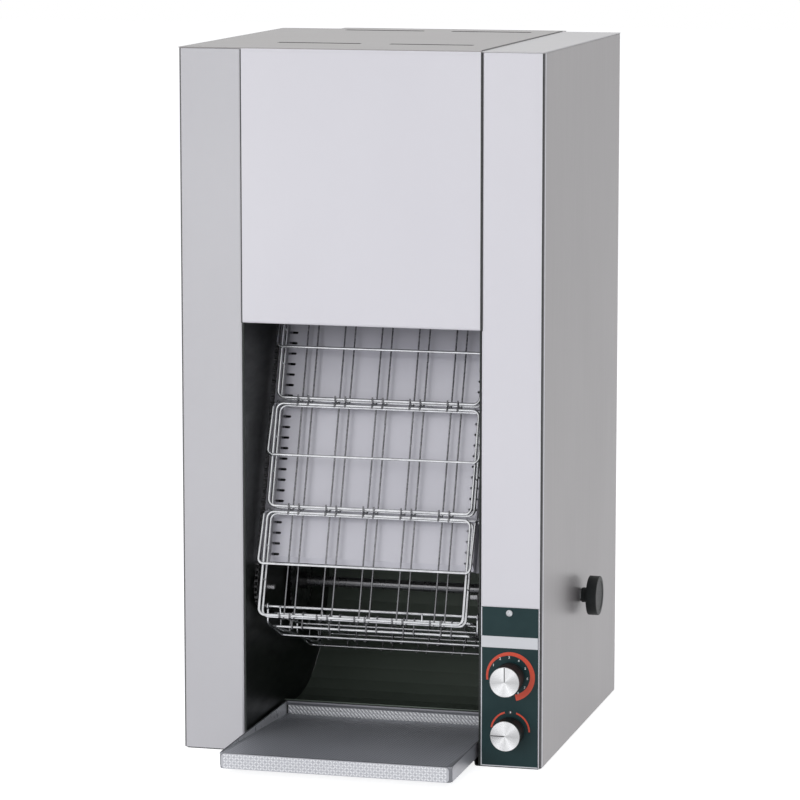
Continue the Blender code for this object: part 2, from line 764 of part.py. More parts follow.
def make_chamber_wall(name, low, high, carrier, extra):
    """One inner side wall, notched for the hood's hems and bored for the shafts."""
    front = SHEET + SEAT_GAP
    behind_hood = HOOD_HEM + SEAT_GAP
    back = CABINET_DEPTH - SEAM
    floor = SHEET + SEAT_GAP
    notch = HOOD_EDGE_HEIGHT - SEAT_GAP
    outline = [(front, floor), (back, floor), (back, PANEL_TOP), (behind_hood, PANEL_TOP),
               (behind_hood, notch), (front, notch)]
    wall = prism(outline, "x", low, high)
    cutters = [bore("x", FRONT_AXIS_Y, FRONT_AXIS_Z, IDLER_PIN_RADIUS + SEAT_GAP, low - OVERRUN,
                    high + OVERRUN)]
    for axis_y, axis_z, shaft in ((DRIVE_AXIS_Y, DRIVE_AXIS_Z, DRIVE_SHAFT_RADIUS),
                                  (TOP_AXIS_Y, TOP_AXIS_Z, TOP_SHAFT_RADIUS)):
        radius = shaft + BEARING_WALL + 2 * SEAT_GAP
        cutters.append(bore("x", axis_y, axis_z, radius, low - OVERRUN, high + OVERRUN, ROUND_SIDES))
    add_piece(name, cut(wall, *cutters, *extra), "inner_steel", carrier)


def make_cabinet(carrier):
    make_base_pan(carrier)
    make_left_panel(carrier)
    make_top_cover(carrier)
    make_hood_front(carrier)
    make_right_front_panel(carrier)
    make_right_side_panel(carrier)
    make_right_top_cover(carrier)
    make_rear_cover(carrier)
    make_chamber_wall("chamber_wall_left", CHAMBER_LEFT, INSIDE_LEFT, carrier, [])
    make_chamber_wall("chamber_wall_right", INSIDE_RIGHT, CHAMBER_RIGHT, carrier, terminal_holes())


# Conveyor

def toothed_outline(centre, outer, root, teeth):
    """A pointed sprocket outline, its first tooth straight up."""
    outline = []
    for tooth in range(teeth):
        for radius, share in ((outer, 0.0), (root, 0.5)):
            angle = pi / 2 + 2 * pi * (tooth + share) / teeth
            outline.append((centre[0] + radius * cos(angle), centre[1] + radius * sin(angle)))
    return outline


def make_sprocket(name, wheel, teeth, shaft_radius, side, pivot, hub_radius=HUB_RADIUS,
                  hub_length=HUB_LENGTH):
    """Toothed disc in the chain's plane, with its hub on the chamber's side."""
    plane = CHAMBER_MIDDLE + side * CHAIN_TO_MIDDLE
    inward = -side
    outer = wheel[2] - CHAIN_HEIGHT / 2 - SPROCKET_CLEARANCE
    half = SPROCKET_THICKNESS / 2
    outline = toothed_outline(wheel, outer, outer - TOOTH_DEPTH, teeth)
    disc = prism(outline, "x", plane - half, plane + half)
    hub_end = plane + inward * (half + hub_length)
    low, high = sorted((plane, hub_end))
    hub = bore("x", wheel[0], wheel[1], hub_radius, low, high, ROUND_SIDES)
    hole = bore("x", wheel[0], wheel[1], shaft_radius + SEAT_GAP, plane - hub_length - OVERRUN,
                plane + hub_length + OVERRUN, ROUND_SIDES)
    add_piece(name, cut(join(disc, hub), hole), "chain_steel", None, pivot, smooth=True)


def make_shaft(name, wheel, radius, low, high, pivot):
    rod = bore("x", wheel[0], wheel[1], radius, low, high, ROUND_SIDES)
    add_piece(name, rod, "shaft_steel", None, pivot, smooth=True)


def make_bearing(name, wheel, shaft_radius, side, carrier):
    """Flanged bush through one chamber wall, its flange on the chamber's side."""
    wall_face = INSIDE_LEFT if side < 0 else INSIDE_RIGHT
    inward = -side
    inner = shaft_radius + SEAT_GAP
    barrel = inner + BEARING_WALL
    flange = barrel + BEARING_FLANGE
    seat = wall_face + inward * SEAT_GAP
    face = seat + inward * BEARING_FLANGE_THICKNESS
    end = wall_face - inward * BEARING_DEPTH
    profile = [(inner, face), (flange, face), (flange, seat), (barrel, seat), (barrel, end),
               (inner, end)]
    bush = lathe(profile, wheel, "x", ROUND_SIDES, closed=True)
    add_piece(name, bush, "bronze", carrier, smooth=True)


def make_idler(side, word, carrier, pivot):
    """Front lower wheel turning on a pin that the chamber wall holds."""
    plane = CHAMBER_MIDDLE + side * CHAIN_TO_MIDDLE
    inward = -side
    wall_face = INSIDE_LEFT if side < 0 else INSIDE_RIGHT
    outside = wall_face - inward * WALL_SHEET
    head = outside - inward * (SEAT_GAP + WALL_SHEET)
    shank_start = outside - inward * SEAT_GAP
    tip = wall_face + inward * IDLER_PIN_REACH
    profile = [(0, head), (IDLER_PIN_HEAD, head), (IDLER_PIN_HEAD, shank_start),
               (IDLER_PIN_RADIUS, shank_start), (IDLER_PIN_RADIUS, tip), (0, tip)]
    pin = lathe(profile, FRONT_WHEEL, "x", SMALL_ROUND_SIDES)
    add_piece("idler_pin_" + word, pin, "shaft_steel", carrier, smooth=True)
    make_sprocket("idler_sprocket_" + word, FRONT_WHEEL, FRONT_TEETH, IDLER_PIN_RADIUS, side, pivot,
                  IDLER_HUB_RADIUS, IDLER_HUB_LENGTH)


def make_chain(side, word, carrier):
    """One chain as a closed band along its path. Its links belong to the finish."""
    plane = CHAMBER_MIDDLE + side * CHAIN_TO_MIDDLE
    band = ring_prism(loop_outline(CHAIN_HEIGHT / 2), loop_outline(-CHAIN_HEIGHT / 2), "x",
                      plane - CHAIN_WIDTH / 2, plane + CHAIN_WIDTH / 2)
    add_piece("chain_" + word, band, "chain_steel", carrier)


def wire_places():
    """The pairs of grid wires across a basket."""
    places = []
    for pair in range(WIRE_PAIRS):
        middle = (pair - (WIRE_PAIRS - 1) / 2) * PAIR_STEP
        places += [middle - PAIR_GAP / 2, middle + PAIR_GAP / 2]
    return places


def basket_frame(reach):
    """One rounded rectangle of wire, a stated distance outside the chain."""
    top, low = -FRAME_DROP, -FRAME_DROP - BASKET_HEIGHT
    corners = [(-BASKET_HALF_WIDTH, -reach, top), (BASKET_HALF_WIDTH, -reach, top),
               (BASKET_HALF_WIDTH, -reach, low), (-BASKET_HALF_WIDTH, -reach, low)]
    path = rounded(corners, FRAME_CORNER_RADIUS, BASKET_CORNER_STEPS, closed=True)
    return wire(path, FRAME_WIRE_RADIUS, GRID_SIDES, closed=True)


def basket_mesh():
    """Welded wire basket, hung from its rod: x across, -y outwards, -z away from the rod."""
    back = FRONT_FRAME_REACH - FRAME_SPACING
    front = FRONT_FRAME_REACH
    top, low = -FRAME_DROP, -FRAME_DROP - BASKET_HEIGHT
    rod_half = CHAIN_TO_MIDDLE - CHAIN_WIDTH / 2 - SEAT_GAP
    rod = wire([(-rod_half, 0, 0), (rod_half, 0, 0)], ROD_RADIUS, WIRE_SIDES)
    pieces = [rod, basket_frame(back)]
    for x in wire_places():
        pieces.append(wire([(x, -back, top), (x, -back, low)], GRID_WIRE_RADIUS, GRID_SIDES))
        pieces.append(wire([(x, -back, low), (x, -front, low)], GRID_WIRE_RADIUS, GRID_SIDES))
    tie = BASKET_HALF_WIDTH - FRAME_CORNER_RADIUS
    for x in (-tie, tie):
        pieces.append(wire([(x, -front, top), (x, -back, top), (x, 0, 0)], TIE_WIRE_RADIUS, GRID_SIDES))
    side = BAIL_HALF_WIDTH
    shoulder = (-BAIL_SHOULDER_REACH, -BAIL_SHOULDER_DROP)
    foot = (-BAIL_REACH, -BAIL_DROP)
    bail = [(-side, 0, 0), (-side, *shoulder), (-side, *foot), (side, *foot), (side, *shoulder),
            (side, 0, 0)]
    path = rounded(bail, FRAME_CORNER_RADIUS, BASKET_CORNER_STEPS)
    pieces.append(wire(path, BAIL_WIRE_RADIUS, GRID_SIDES))
    return join(basket_frame(front), *pieces)


def make_baskets(carrier, turning):
    """Like baskets at equal steps along the chain. One on the top turn hangs on that axis."""
    mesh = basket_mesh()
    mesh.name = "basket"
    for number in range(BASKET_COUNT):
        station = FIRST_BASKET_STATION + number * BASKET_PITCH
        y, z, heading = loop_place(station)
        basket = add_piece(f"basket_{number + 1:02d}", mesh, "bright_wire", carrier)
        basket.rotation_euler = (heading - pi / 2, 0, 0)
        basket.location = (CHAMBER_MIDDLE, y, z)
        if loop_kind(station) == "turn":
            basket.parent = turning
            basket.location = (0, y - TOP_AXIS_Y, z - TOP_AXIS_Z)


def make_conveyor(carrier):
    drive = add_empty("drive_axis", (CHAMBER_MIDDLE, DRIVE_AXIS_Y, DRIVE_AXIS_Z), carrier)
    top = add_empty("top_axis", (CHAMBER_MIDDLE, TOP_AXIS_Y, TOP_AXIS_Z), carrier)
    turn = add_empty("top_basket_axis", (CHAMBER_MIDDLE, TOP_AXIS_Y, TOP_AXIS_Z), carrier)
    shaft_end = CHAMBER_RIGHT + SHAFT_END
    knob_seat = CABINET_WIDTH + HAND_KNOB_REACH - HAND_KNOB_FACE - SEAT_GAP
    make_shaft("drive_shaft", DRIVE_WHEEL, DRIVE_SHAFT_RADIUS, CHAMBER_LEFT - SHAFT_END, knob_seat, drive)
    make_shaft("top_shaft", TOP_WHEEL, TOP_SHAFT_RADIUS, CHAMBER_LEFT - SHAFT_END, shaft_end, top)
    for side, word in ((-1, "left"), (1, "right")):
        idler = add_empty("idler_axis_" + word, (CHAMBER_MIDDLE, FRONT_AXIS_Y, FRONT_AXIS_Z), carrier)
        make_sprocket("drive_sprocket_" + word, DRIVE_WHEEL, DRIVE_TEETH, DRIVE_SHAFT_RADIUS, side, drive)
        make_sprocket("top_sprocket_" + word, TOP_WHEEL, TOP_TEETH, TOP_SHAFT_RADIUS, side, top)
        make_bearing("drive_bearing_" + word, DRIVE_WHEEL, DRIVE_SHAFT_RADIUS, side, carrier)
        make_bearing("top_bearing_" + word, TOP_WHEEL, TOP_SHAFT_RADIUS, side, carrier)
        make_idler(side, word, carrier, idler)
        make_chain(side, word, carrier)
    make_baskets(carrier, turn)
    make_hand_knob(drive)
    make_drive_train(carrier, drive)


def make_hand_knob(pivot):
    """Black knob on the shaft's end, for turning the baskets by hand."""
    near = CABINET_WIDTH + HAND_KNOB_GAP
    far = CABINET_WIDTH + HAND_KNOB_REACH
    disc = far - HAND_KNOB_DISC_THICKNESS
    inner = DRIVE_SHAFT_RADIUS + SEAT_GAP
    edge = HAND_KNOB_DISC_RADIUS - HAND_KNOB_EDGE
    profile = [(inner, near), (HAND_KNOB_NECK_RADIUS, near), (HAND_KNOB_NECK_RADIUS, (near + disc) / 2),
               (HAND_KNOB_FLARE_RADIUS, disc), (edge, disc), (HAND_KNOB_DISC_RADIUS, disc + HAND_KNOB_EDGE),
               (HAND_KNOB_DISC_RADIUS, far - HAND_KNOB_EDGE), (edge, far), (0, far),
               (0, far - HAND_KNOB_FACE), (inner, far - HAND_KNOB_FACE)]
    knob = lathe(profile, DRIVE_WHEEL, "x", KNOB_SIDES, closed=True)
    add_piece("hand_knob", knob, "knob_black", None, pivot, smooth=True)


def gear_outline(centre, teeth, first_angle):
    """Straight-sided teeth on a named module, one tooth's middle at the first angle."""
    pitch_radius = teeth * GEAR_MODULE / 2
    tip = pitch_radius + GEAR_MODULE * TIP_SHARE
    root = pitch_radius - GEAR_MODULE * ROOT_SHARE
    outline = []
    for tooth in range(teeth):
        for radius, share in ((root, -ROOT_WIDTH_SHARE), (tip, -TIP_WIDTH_SHARE), (tip, TIP_WIDTH_SHARE),
                              (root, ROOT_WIDTH_SHARE)):
            angle = first_angle + 2 * pi * (tooth + share * GEAR_BACKLASH_SHARE) / teeth
            outline.append((centre[0] + radius * cos(angle), centre[1] + radius * sin(angle)))
    return outline


def make_drive_train(carrier, drive):
    """Gearmotor on the right wall, its pinion, and the gear on the drive shaft."""
    wall = CHAMBER_RIGHT + SEAT_GAP
    gearbox_face = wall + GEARBOX_THICKNESS
    low = gearbox_face + GEAR_TO_GEARBOX
    high = low + GEAR_WIDTH
    pinion_y = DRIVE_AXIS_Y
    pinion_z = DRIVE_AXIS_Z + (GEAR_TEETH + PINION_TEETH) * GEAR_MODULE / 2
    gear = prism(gear_outline(DRIVE_WHEEL, GEAR_TEETH, pi / 2), "x", low, high)
    hole = bore("x", DRIVE_AXIS_Y, DRIVE_AXIS_Z, DRIVE_SHAFT_RADIUS + SEAT_GAP, low - OVERRUN,
                high + OVERRUN, ROUND_SIDES)
    add_piece("drive_gear", cut(gear, hole), "shaft_steel", None, drive)
    spin = add_empty("pinion_axis", (CHAMBER_MIDDLE, pinion_y, pinion_z), carrier)
    outline = gear_outline((pinion_y, pinion_z), PINION_TEETH, -pi / 2 + pi / PINION_TEETH)
    pinion = prism(outline, "x", low, high)
    neck = bore("x", pinion_y, pinion_z, SPINDLE_RADIUS, gearbox_face + SEAT_GAP, low + GEAR_WIDTH / 2)
    add_piece("motor_pinion", join(pinion, neck), "shaft_steel", None, spin)
    bottom = pinion_z - GEARBOX_DROP
    box = block((wall, pinion_y - GEARBOX_WIDTH / 2, bottom),
                (gearbox_face, pinion_y + GEARBOX_WIDTH / 2, bottom + GEARBOX_HEIGHT))
    motor = bore("x", pinion_y, pinion_z + MOTOR_RISE, MOTOR_RADIUS, gearbox_face - SHEET,
                 gearbox_face + MOTOR_LENGTH, KNOB_SIDES)
    add_piece("gearmotor", join(box, motor), "motor_grey", carrier, smooth=True)


# Heat

def inner_front_start():
    """Place on the front run of the lowest pass of the element behind the top baskets."""
    return FRONT_RUN - INNER_FRONT_TO_TURN - (INNER_FRONT_PASSES - 1) * INNER_FRONT_STEP


def upright_passes(y, base, drop, count):
    """Level passes one above another, from a base up to a stated drop below the top wheels' axis."""
    step = (TOP_AXIS_Z - drop - base) / (count - 1)
    return [(y, base + index * step) for index in range(count)]


def leaning_passes(start, step, count, outward):
    """Level passes that follow the front run."""
    return [loop_place(start + index * step, outward)[:2] for index in range(count)]


def element_passes():
    """Side-view places of each element's straight passes."""
    rear_run = DRIVE_AXIS_Y + DRIVE_WHEEL[2]
    basket_reach = BAIL_REACH + BAIL_WIRE_RADIUS
    outer_rear_y = rear_run + basket_reach + ELEMENT_RADIUS + ELEMENT_CLEARANCE
    outer_front = FRONT_RUN - OUTER_FRONT_TO_TURN - (OUTER_FRONT_PASSES - 1) * OUTER_FRONT_STEP
    return {
        "inner_front_element": leaning_passes(inner_front_start(), INNER_FRONT_STEP, INNER_FRONT_PASSES,
                                              -INNER_FRONT_INWARD),
        "inner_rear_element": upright_passes(rear_run - INNER_FRONT_INWARD, INNER_REAR_BASE, INNER_REAR_DROP,
                                             INNER_REAR_PASSES),
        "outer_front_element": leaning_passes(outer_front, OUTER_FRONT_STEP, OUTER_FRONT_PASSES,
                                              OUTER_FRONT_REACH),
        "outer_rear_element": upright_passes(outer_rear_y, OUTER_REAR_BASE, OUTER_REAR_DROP,
                                             OUTER_REAR_PASSES),
    }


def make_elements(carrier):
    """Sheathed rods bent to and fro across the chamber, both ends through the right wall."""
    left = INSIDE_LEFT + ELEMENT_MARGIN
    right = INSIDE_RIGHT - ELEMENT_MARGIN
    terminal = CHAMBER_RIGHT + TERMINAL_LENGTH
    for name, passes in element_passes().items():
        path = []
        for index, (y, z) in enumerate(passes):
            ends = [left, right] if index % 2 else [right, left]
            path += [(x, y, z) for x in ends]
        path[0] = (terminal, *passes[0])
        path[-1] = (terminal, *passes[-1])
        rod = wire(rounded(path, ELEMENT_BEND_RADIUS, CORNER_STEPS), ELEMENT_RADIUS, WIRE_SIDES)
        add_piece(name, rod, "element_sheath", carrier, smooth=True)


def make_load_shield(carrier):
    """Bright plate behind the front baskets, notched down both folds, on two flanges to the walls."""
    back = SHIELD_INWARD + SHIELD_FLANGE_DEPTH
    left, right = CHAMBER_MIDDLE - SHIELD_HALF_WIDTH, CHAMBER_MIDDLE + SHIELD_HALF_WIDTH
    path = [(SEATED_LEFT, back), (left, back), (left, SHIELD_INWARD), (right, SHIELD_INWARD),
            (right, back), (SEATED_RIGHT, back)]
    high = inner_front_start() - SHIELD_TO_ELEMENT
    plate = prism(strip(path, SHIELD_SHEET), "z", SHIELD_START, high)
    notches = []
    for step in range(1, int((high - SHIELD_START) / SHIELD_NOTCH_STEP) + 1):
        low = SHIELD_START + step * SHIELD_NOTCH_STEP
        for edge, inward in ((left, 1), (right, -1)):
            sides = sorted((edge + inward * 2 * SHIELD_SHEET, edge + inward * SHIELD_NOTCH_WIDTH))
            notches.append(block((sides[0], SHIELD_INWARD - OVERRUN, low),
                                 (sides[1], SHIELD_INWARD + OVERRUN, low + SHIELD_NOTCH_HEIGHT)))
    shield = cut(plate, *notches)
    shield.transform(front_run_matrix())
    add_piece("load_shield", shield, "shield_steel", carrier)


def arc_points(centre, radius, start, end, steps):
    angles = [start + (end - start) * step / steps for step in range(steps + 1)]
    return [(centre[0] + radius * cos(angle), centre[1] + radius * sin(angle)) for angle in angles]


def make_reflectors(carrier):
    """Two bright sheets round the upper loop, and the curved chute under the drive wheels."""
    centre = TOP_WHEEL
    foot = (HOOD_HEM + SEAM, HOOD_EDGE_HEIGHT + SHEET + SEAT_GAP)
    front = [foot, (REFLECTOR_FOOT_SETBACK, foot[1] + REFLECTOR_FOOT_RISE),
             (TOP_AXIS_Y - REFLECTOR_ARCH_RADIUS, foot[1] + REFLECTOR_SHOULDER_RISE)]
    front += arc_points(centre, REFLECTOR_ARCH_RADIUS, pi, pi / 2 + ARCH_JOINT_ANGLE, ARCH_STEPS)
    sheet = prism(strip(front, REFLECTOR_SHEET), "x", SEATED_LEFT, SEATED_RIGHT)
    add_piece("front_reflector", sheet, "shield_steel", carrier)
    rear = arc_points(centre, REFLECTOR_ARCH_RADIUS, pi / 2, pi / 4, ARCH_STEPS // 2)
    wall_y = rear[-1][0]
    rear += [(wall_y, REAR_REFLECTOR_KNEE),
             (wall_y + REAR_REFLECTOR_SPREAD, REAR_REFLECTOR_KNEE - REAR_REFLECTOR_SPREAD_RISE),
             (wall_y + REAR_REFLECTOR_SPREAD, DRIVE_AXIS_Z)]
    sheet = prism(strip(rear, REFLECTOR_SHEET), "x", SEATED_LEFT, SEATED_RIGHT)
    add_piece("rear_reflector", sheet, "shield_steel", carrier)
    chute = arc_points(DRIVE_WHEEL, CHUTE_RADIUS, CHUTE_START_ANGLE, CHUTE_END_ANGLE, ARCH_STEPS)
    sheet = prism(strip(chute, -SHEET), "x", SEATED_LEFT, SEATED_RIGHT)
    add_piece("discharge_chute", sheet, "inner_steel", carrier)


# Tray

def tray_plan(inset):
    """The tray's outline from above, drawn in by a wall."""
    left = CHAMBER_MIDDLE - TRAY_WIDTH / 2 + inset
    right = CHAMBER_MIDDLE + TRAY_WIDTH / 2 - inset
    front = -TRAY_REACH + inset
    back = TRAY_LENGTH - TRAY_REACH - inset
    corners = [((left, front), TRAY_FRONT_RADIUS, pi), ((right, front), TRAY_FRONT_RADIUS, -pi / 2),
               ((right, back), TRAY_REAR_RADIUS, 0), ((left, back), TRAY_REAR_RADIUS, pi / 2)]
    plan = []
    for corner, radius, start in corners:
        turn = radius - inset
        middle = (corner[0] + (turn if corner[0] == left else -turn),
                  corner[1] + (turn if corner[1] == front else -turn))
        plan += arc_points(middle, turn, start, start + pi / 2, CORNER_STEPS + 1)
    return plan


def make_tray(carrier):
    """Sloping toast tray: its floor meets the front edge and drops towards the back."""
    top = TRAY_BASE + TRAY_HEIGHT
    wall = ring_prism(tray_plan(0), tray_plan(TRAY_SHEET), "z", TRAY_BASE, top)
    front = -TRAY_REACH + TRAY_SHEET / 2
    back = TRAY_LENGTH - TRAY_REACH - TRAY_SHEET / 2
    low = TRAY_BASE + TRAY_FLOOR_LOW
    side = TRAY_SHEET / 2
    slab = [(front, top - TRAY_SHEET), (back, low), (back, low + TRAY_SHEET), (front, top)]
    half = TRAY_WIDTH / 2 - side
    floor = prism(slab, "x", CHAMBER_MIDDLE - half, CHAMBER_MIDDLE + half)
    corners = prism(tray_plan(TRAY_SHEET / 2), "z", TRAY_BASE, top + OVERRUN)
    floor = combine("INTERSECT", floor, [corners])
    add_piece("toast_tray", join(wall, floor), "tray_steel", carrier)


# Controls

def make_control_panel(carrier):
    """Dark overlay plate with the holes for both knobs and its screw, and that screw."""
    left = column_left_edge() + CONTROL_MARGIN
    right = CABINET_WIDTH - CONTROL_SIDE_MARGIN
    front = -SEAT_GAP - CONTROL_PLATE
    plate = block((left, front, CONTROL_BASE), (right, -SEAT_GAP, CONTROL_TOP))
    add_piece("control_panel", cut(plate, *front_panel_holes()), "control_teal", carrier)
    seat = front - SEAT_GAP
    crown = seat - SCREW_HEAD_HEIGHT
    edge = seat - SCREW_HEAD_HEIGHT * SCREW_EDGE_SHARE
    tip = seat + SCREW_LENGTH
    profile = [(0, crown), (SCREW_HEAD_RADIUS * SCREW_CROWN_SHARE, crown), (SCREW_HEAD_RADIUS, edge),
               (SCREW_HEAD_RADIUS, seat), (SCREW_SHANK_RADIUS, seat), (SCREW_SHANK_RADIUS, tip), (0, tip)]
    screw = lathe(profile, (SCREW_X, SCREW_Z), "y", SMALL_ROUND_SIDES)
    add_piece("control_panel_screw", screw, "shaft_steel", carrier, smooth=True)


def make_knob(name, z, reach, turn, body_mesh, body_name, carrier):
    """Black knob with a turned aluminium face and a slot as pointer, on its control's spindle."""
    axis = add_empty(name + "_axis", (DIAL_X, 0, z), carrier)
    base = -SEAT_GAP - CONTROL_PLATE - KNOB_LIFT
    cap_back = -reach + KNOB_CAP_THICKNESS
    skirt_front = cap_back + SEAT_GAP
    flange = base - KNOB_FLANGE_THICKNESS
    spindle_end = SHEET + SEAT_GAP + SPINDLE_CLEARANCE
    profile = [(0, skirt_front), (KNOB_FACE_RADIUS, skirt_front), (KNOB_NECK_RADIUS, flange),
               (KNOB_BASE_RADIUS, flange), (KNOB_BASE_RADIUS, base), (SPINDLE_RADIUS, base),
               (SPINDLE_RADIUS, spindle_end), (0, spindle_end)]
    skirt = lathe(profile, (DIAL_X, z), "y", KNOB_SIDES)
    add_piece(name + "_skirt", skirt, "knob_black", None, axis, smooth=True)
    cap = bore("y", DIAL_X, z, KNOB_FACE_RADIUS, -reach, cap_back, KNOB_SIDES)
    slot = block((-KNOB_POINTER_WIDTH / 2, -reach - OVERRUN, KNOB_FACE_RADIUS - KNOB_POINTER_LENGTH),
                 (KNOB_POINTER_WIDTH / 2, -reach + KNOB_POINTER_DEPTH, KNOB_FACE_RADIUS + OVERRUN))
    slot.transform(Matrix.Translation((DIAL_X, 0, z)) @ Matrix.Rotation(turn, 4, "Y"))
    add_piece(name + "_cap", cut(cap, slot), "knob_aluminium", None, axis, smooth=True)
    body_mesh.transform(Matrix.Translation((DIAL_X, spindle_end + SEAT_GAP, z)))
    add_piece(body_name, body_mesh, "moulded_black", carrier)


def control_body(shape):
    """A control on a threaded bush that reaches to the panel's back."""
    collar = -SPINDLE_CLEARANCE - SEAT_GAP
    sleeve = ring_prism(circle(0, 0, CONTROL_BODY_RADIUS / 2, SMALL_ROUND_SIDES),
                        circle(0, 0, SPINDLE_RADIUS + SEAT_GAP, SMALL_ROUND_SIDES), "y", collar, SHEET)
    return join(shape, sleeve)


def make_controls(carrier):
    make_control_panel(carrier)
    speed = bore("y", 0, 0, CONTROL_BODY_RADIUS, 0, CONTROL_BODY_DEPTH, ROUND_SIDES)
    half = SWITCH_BODY_SIDE / 2
    heat = block((-half, 0, -half), (half, SWITCH_BODY_DEPTH, half))
    make_knob("speed_knob", SPEED_DIAL_Z, SPEED_KNOB_REACH, 0, control_body(speed), "speed_control",
              carrier)
    make_knob("heat_knob", HEAT_DIAL_Z, HEAT_KNOB_REACH, HEAT_KNOB_TURN, control_body(heat), "heat_switch",
              carrier)


def make_electrical_entry(carrier):
    """Terminal block on the right wall, and the gland that the supply cord would pass."""
    near = CHAMBER_RIGHT + SEAT_GAP
    far = near + TERMINAL_BLOCK_DEPTH
    top = TERMINAL_BLOCK_Z + TERMINAL_BLOCK_HEIGHT
    shelf = top - TERMINAL_BLOCK_STEP
    outline = [(near, TERMINAL_BLOCK_Z), (far, TERMINAL_BLOCK_Z), (far, shelf),
               (far - TERMINAL_BLOCK_STEP, shelf), (far - TERMINAL_BLOCK_STEP, top), (near, top)]
    front = CABINET_DEPTH - TERMINAL_BLOCK_INSET
    body = prism(outline, "y", front, front + TERMINAL_BLOCK_LENGTH)
    add_piece("terminal_block", body, "moulded_black", carrier)
    outside = CABINET_DEPTH + SEAT_GAP
    inside = CABINET_DEPTH - SHEET - GLAND_FLANGE_THICKNESS
    end = CABINET_DEPTH + GLAND_REACH
    profile = [(GLAND_BORE_RADIUS, inside), (GLAND_BARREL_RADIUS, inside), (GLAND_BARREL_RADIUS, outside),
               (GLAND_FLANGE_RADIUS, outside), (GLAND_FLANGE_RADIUS, outside + GLAND_FLANGE_THICKNESS),
               (GLAND_BARREL_RADIUS, end), (GLAND_BORE_RADIUS, end)]
    gland = lathe(profile, (GLAND_X, GLAND_Z), "y", SMALL_ROUND_SIDES, closed=True)
    add_piece("cord_gland", gland, "moulded_black", carrier, smooth=True)


def main():
    clear_scene()
    cabinet = add_empty("cabinet_origin", (-ORIGIN_X, -ORIGIN_Y, 0))
    make_cabinet(cabinet)
    make_conveyor(cabinet)
    make_elements(cabinet)
    make_load_shield(cabinet)
    make_reflectors(cabinet)
    make_tray(cabinet)
    make_controls(cabinet)
    make_electrical_entry(cabinet)


main()
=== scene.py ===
# %% [markdown]
# # A conveyor toaster with wire baskets
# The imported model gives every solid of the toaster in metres, with +Z up and the front facing -Y.
# This lesson dresses those solids: it keeps the ones whose shape is already right and gives them a
# finish, and it replaces the wire, chain, embossed and turned pieces with finer ones.

# %% Load the solids
import json
from math import asin, atan2, cos, hypot, pi, radians, sin, sqrt

import bmesh
import bpy
from mathutils import Matrix, Vector

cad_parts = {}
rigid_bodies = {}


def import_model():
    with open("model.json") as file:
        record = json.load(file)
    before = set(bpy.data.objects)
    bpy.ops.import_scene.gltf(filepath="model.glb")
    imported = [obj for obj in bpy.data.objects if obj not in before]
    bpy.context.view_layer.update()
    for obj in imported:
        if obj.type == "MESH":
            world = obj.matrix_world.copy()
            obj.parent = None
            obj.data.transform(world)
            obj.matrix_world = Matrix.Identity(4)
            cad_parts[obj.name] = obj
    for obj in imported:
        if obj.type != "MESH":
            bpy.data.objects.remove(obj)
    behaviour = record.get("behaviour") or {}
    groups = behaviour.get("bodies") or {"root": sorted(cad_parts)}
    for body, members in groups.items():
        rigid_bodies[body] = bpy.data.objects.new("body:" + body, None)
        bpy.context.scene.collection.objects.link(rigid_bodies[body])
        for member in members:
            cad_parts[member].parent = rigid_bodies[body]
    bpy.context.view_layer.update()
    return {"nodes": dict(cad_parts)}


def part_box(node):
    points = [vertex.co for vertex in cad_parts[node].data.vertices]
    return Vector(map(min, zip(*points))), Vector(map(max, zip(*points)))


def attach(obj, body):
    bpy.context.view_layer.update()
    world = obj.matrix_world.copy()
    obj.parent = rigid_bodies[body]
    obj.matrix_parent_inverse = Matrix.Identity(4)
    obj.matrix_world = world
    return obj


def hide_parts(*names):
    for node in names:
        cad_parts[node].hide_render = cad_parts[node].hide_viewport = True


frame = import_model()

# %% [markdown]
# ## Camera
# The photograph looks at the toaster from its right and a little above, from about four metres away.
# A long lens keeps the upright edges nearly parallel, so the camera is set before anything else and
# every later piece is judged through it.

# %% Camera
LENS_MM = 170.97
CAMERA_PLACE = (1.0827, -4.1446, 1.03112)
CAMERA_YAW = radians(14.7305)
CAMERA_DOWN = radians(8.6108)
scene_things = bpy.context.scene.collection


def add_object(name, data):
    thing = bpy.data.objects.new(name, data)
    scene_things.objects.link(thing)
    return thing


camera_data = bpy.data.cameras.new("photo_camera")
camera_data.lens = LENS_MM
camera_data.clip_end = 100
camera = add_object("photo_camera", camera_data)
camera.location = CAMERA_PLACE
camera.rotation_euler = (pi / 2 - CAMERA_DOWN, 0, CAMERA_YAW)
bpy.context.scene.camera = camera

# %% [markdown]
# ## Light and floor
# Satin steel shows what stands round it. The room is a plain white studio, so the world is white to the camera
# and in reflections and only a soft grey as a light. Three area lamps give the front, the top and the right
# side their different levels, and the right side and the back also have a darker steel finish as painted shade.
# The floor shows nearly white and keeps the shadow.

# %% World
AMBIENT = 0.3


def add_node(tree, kind, values, **settings):
    """A new node with its settings made, and its inputs set to values or linked to outputs."""
    made = tree.nodes.new(kind)
    for name, value in settings.items():
        setattr(made, name, value)
    for name, value in values.items():
        if isinstance(value, bpy.types.NodeSocket):
            tree.links.new(value, made.inputs[name])
        else:
            made.inputs[name].default_value = value
    return made


def new_tree(owner):
    owner.use_nodes = True
    owner.node_tree.nodes.clear()
    return owner.node_tree


def seen_directly(tree):
    """1 for camera, glossy and transmission rays, and 0 for the rays that carry light."""
    rays = add_node(tree, "ShaderNodeLightPath", {}).outputs
    first = {0: rays["Is Camera Ray"], 1: rays["Is Glossy Ray"]}
    second = {0: add_node(tree, "ShaderNodeMath", first, operation="MAXIMUM").outputs[0],
              1: rays["Is Transmission Ray"]}
    return add_node(tree, "ShaderNodeMath", second, operation="MAXIMUM").outputs[0]


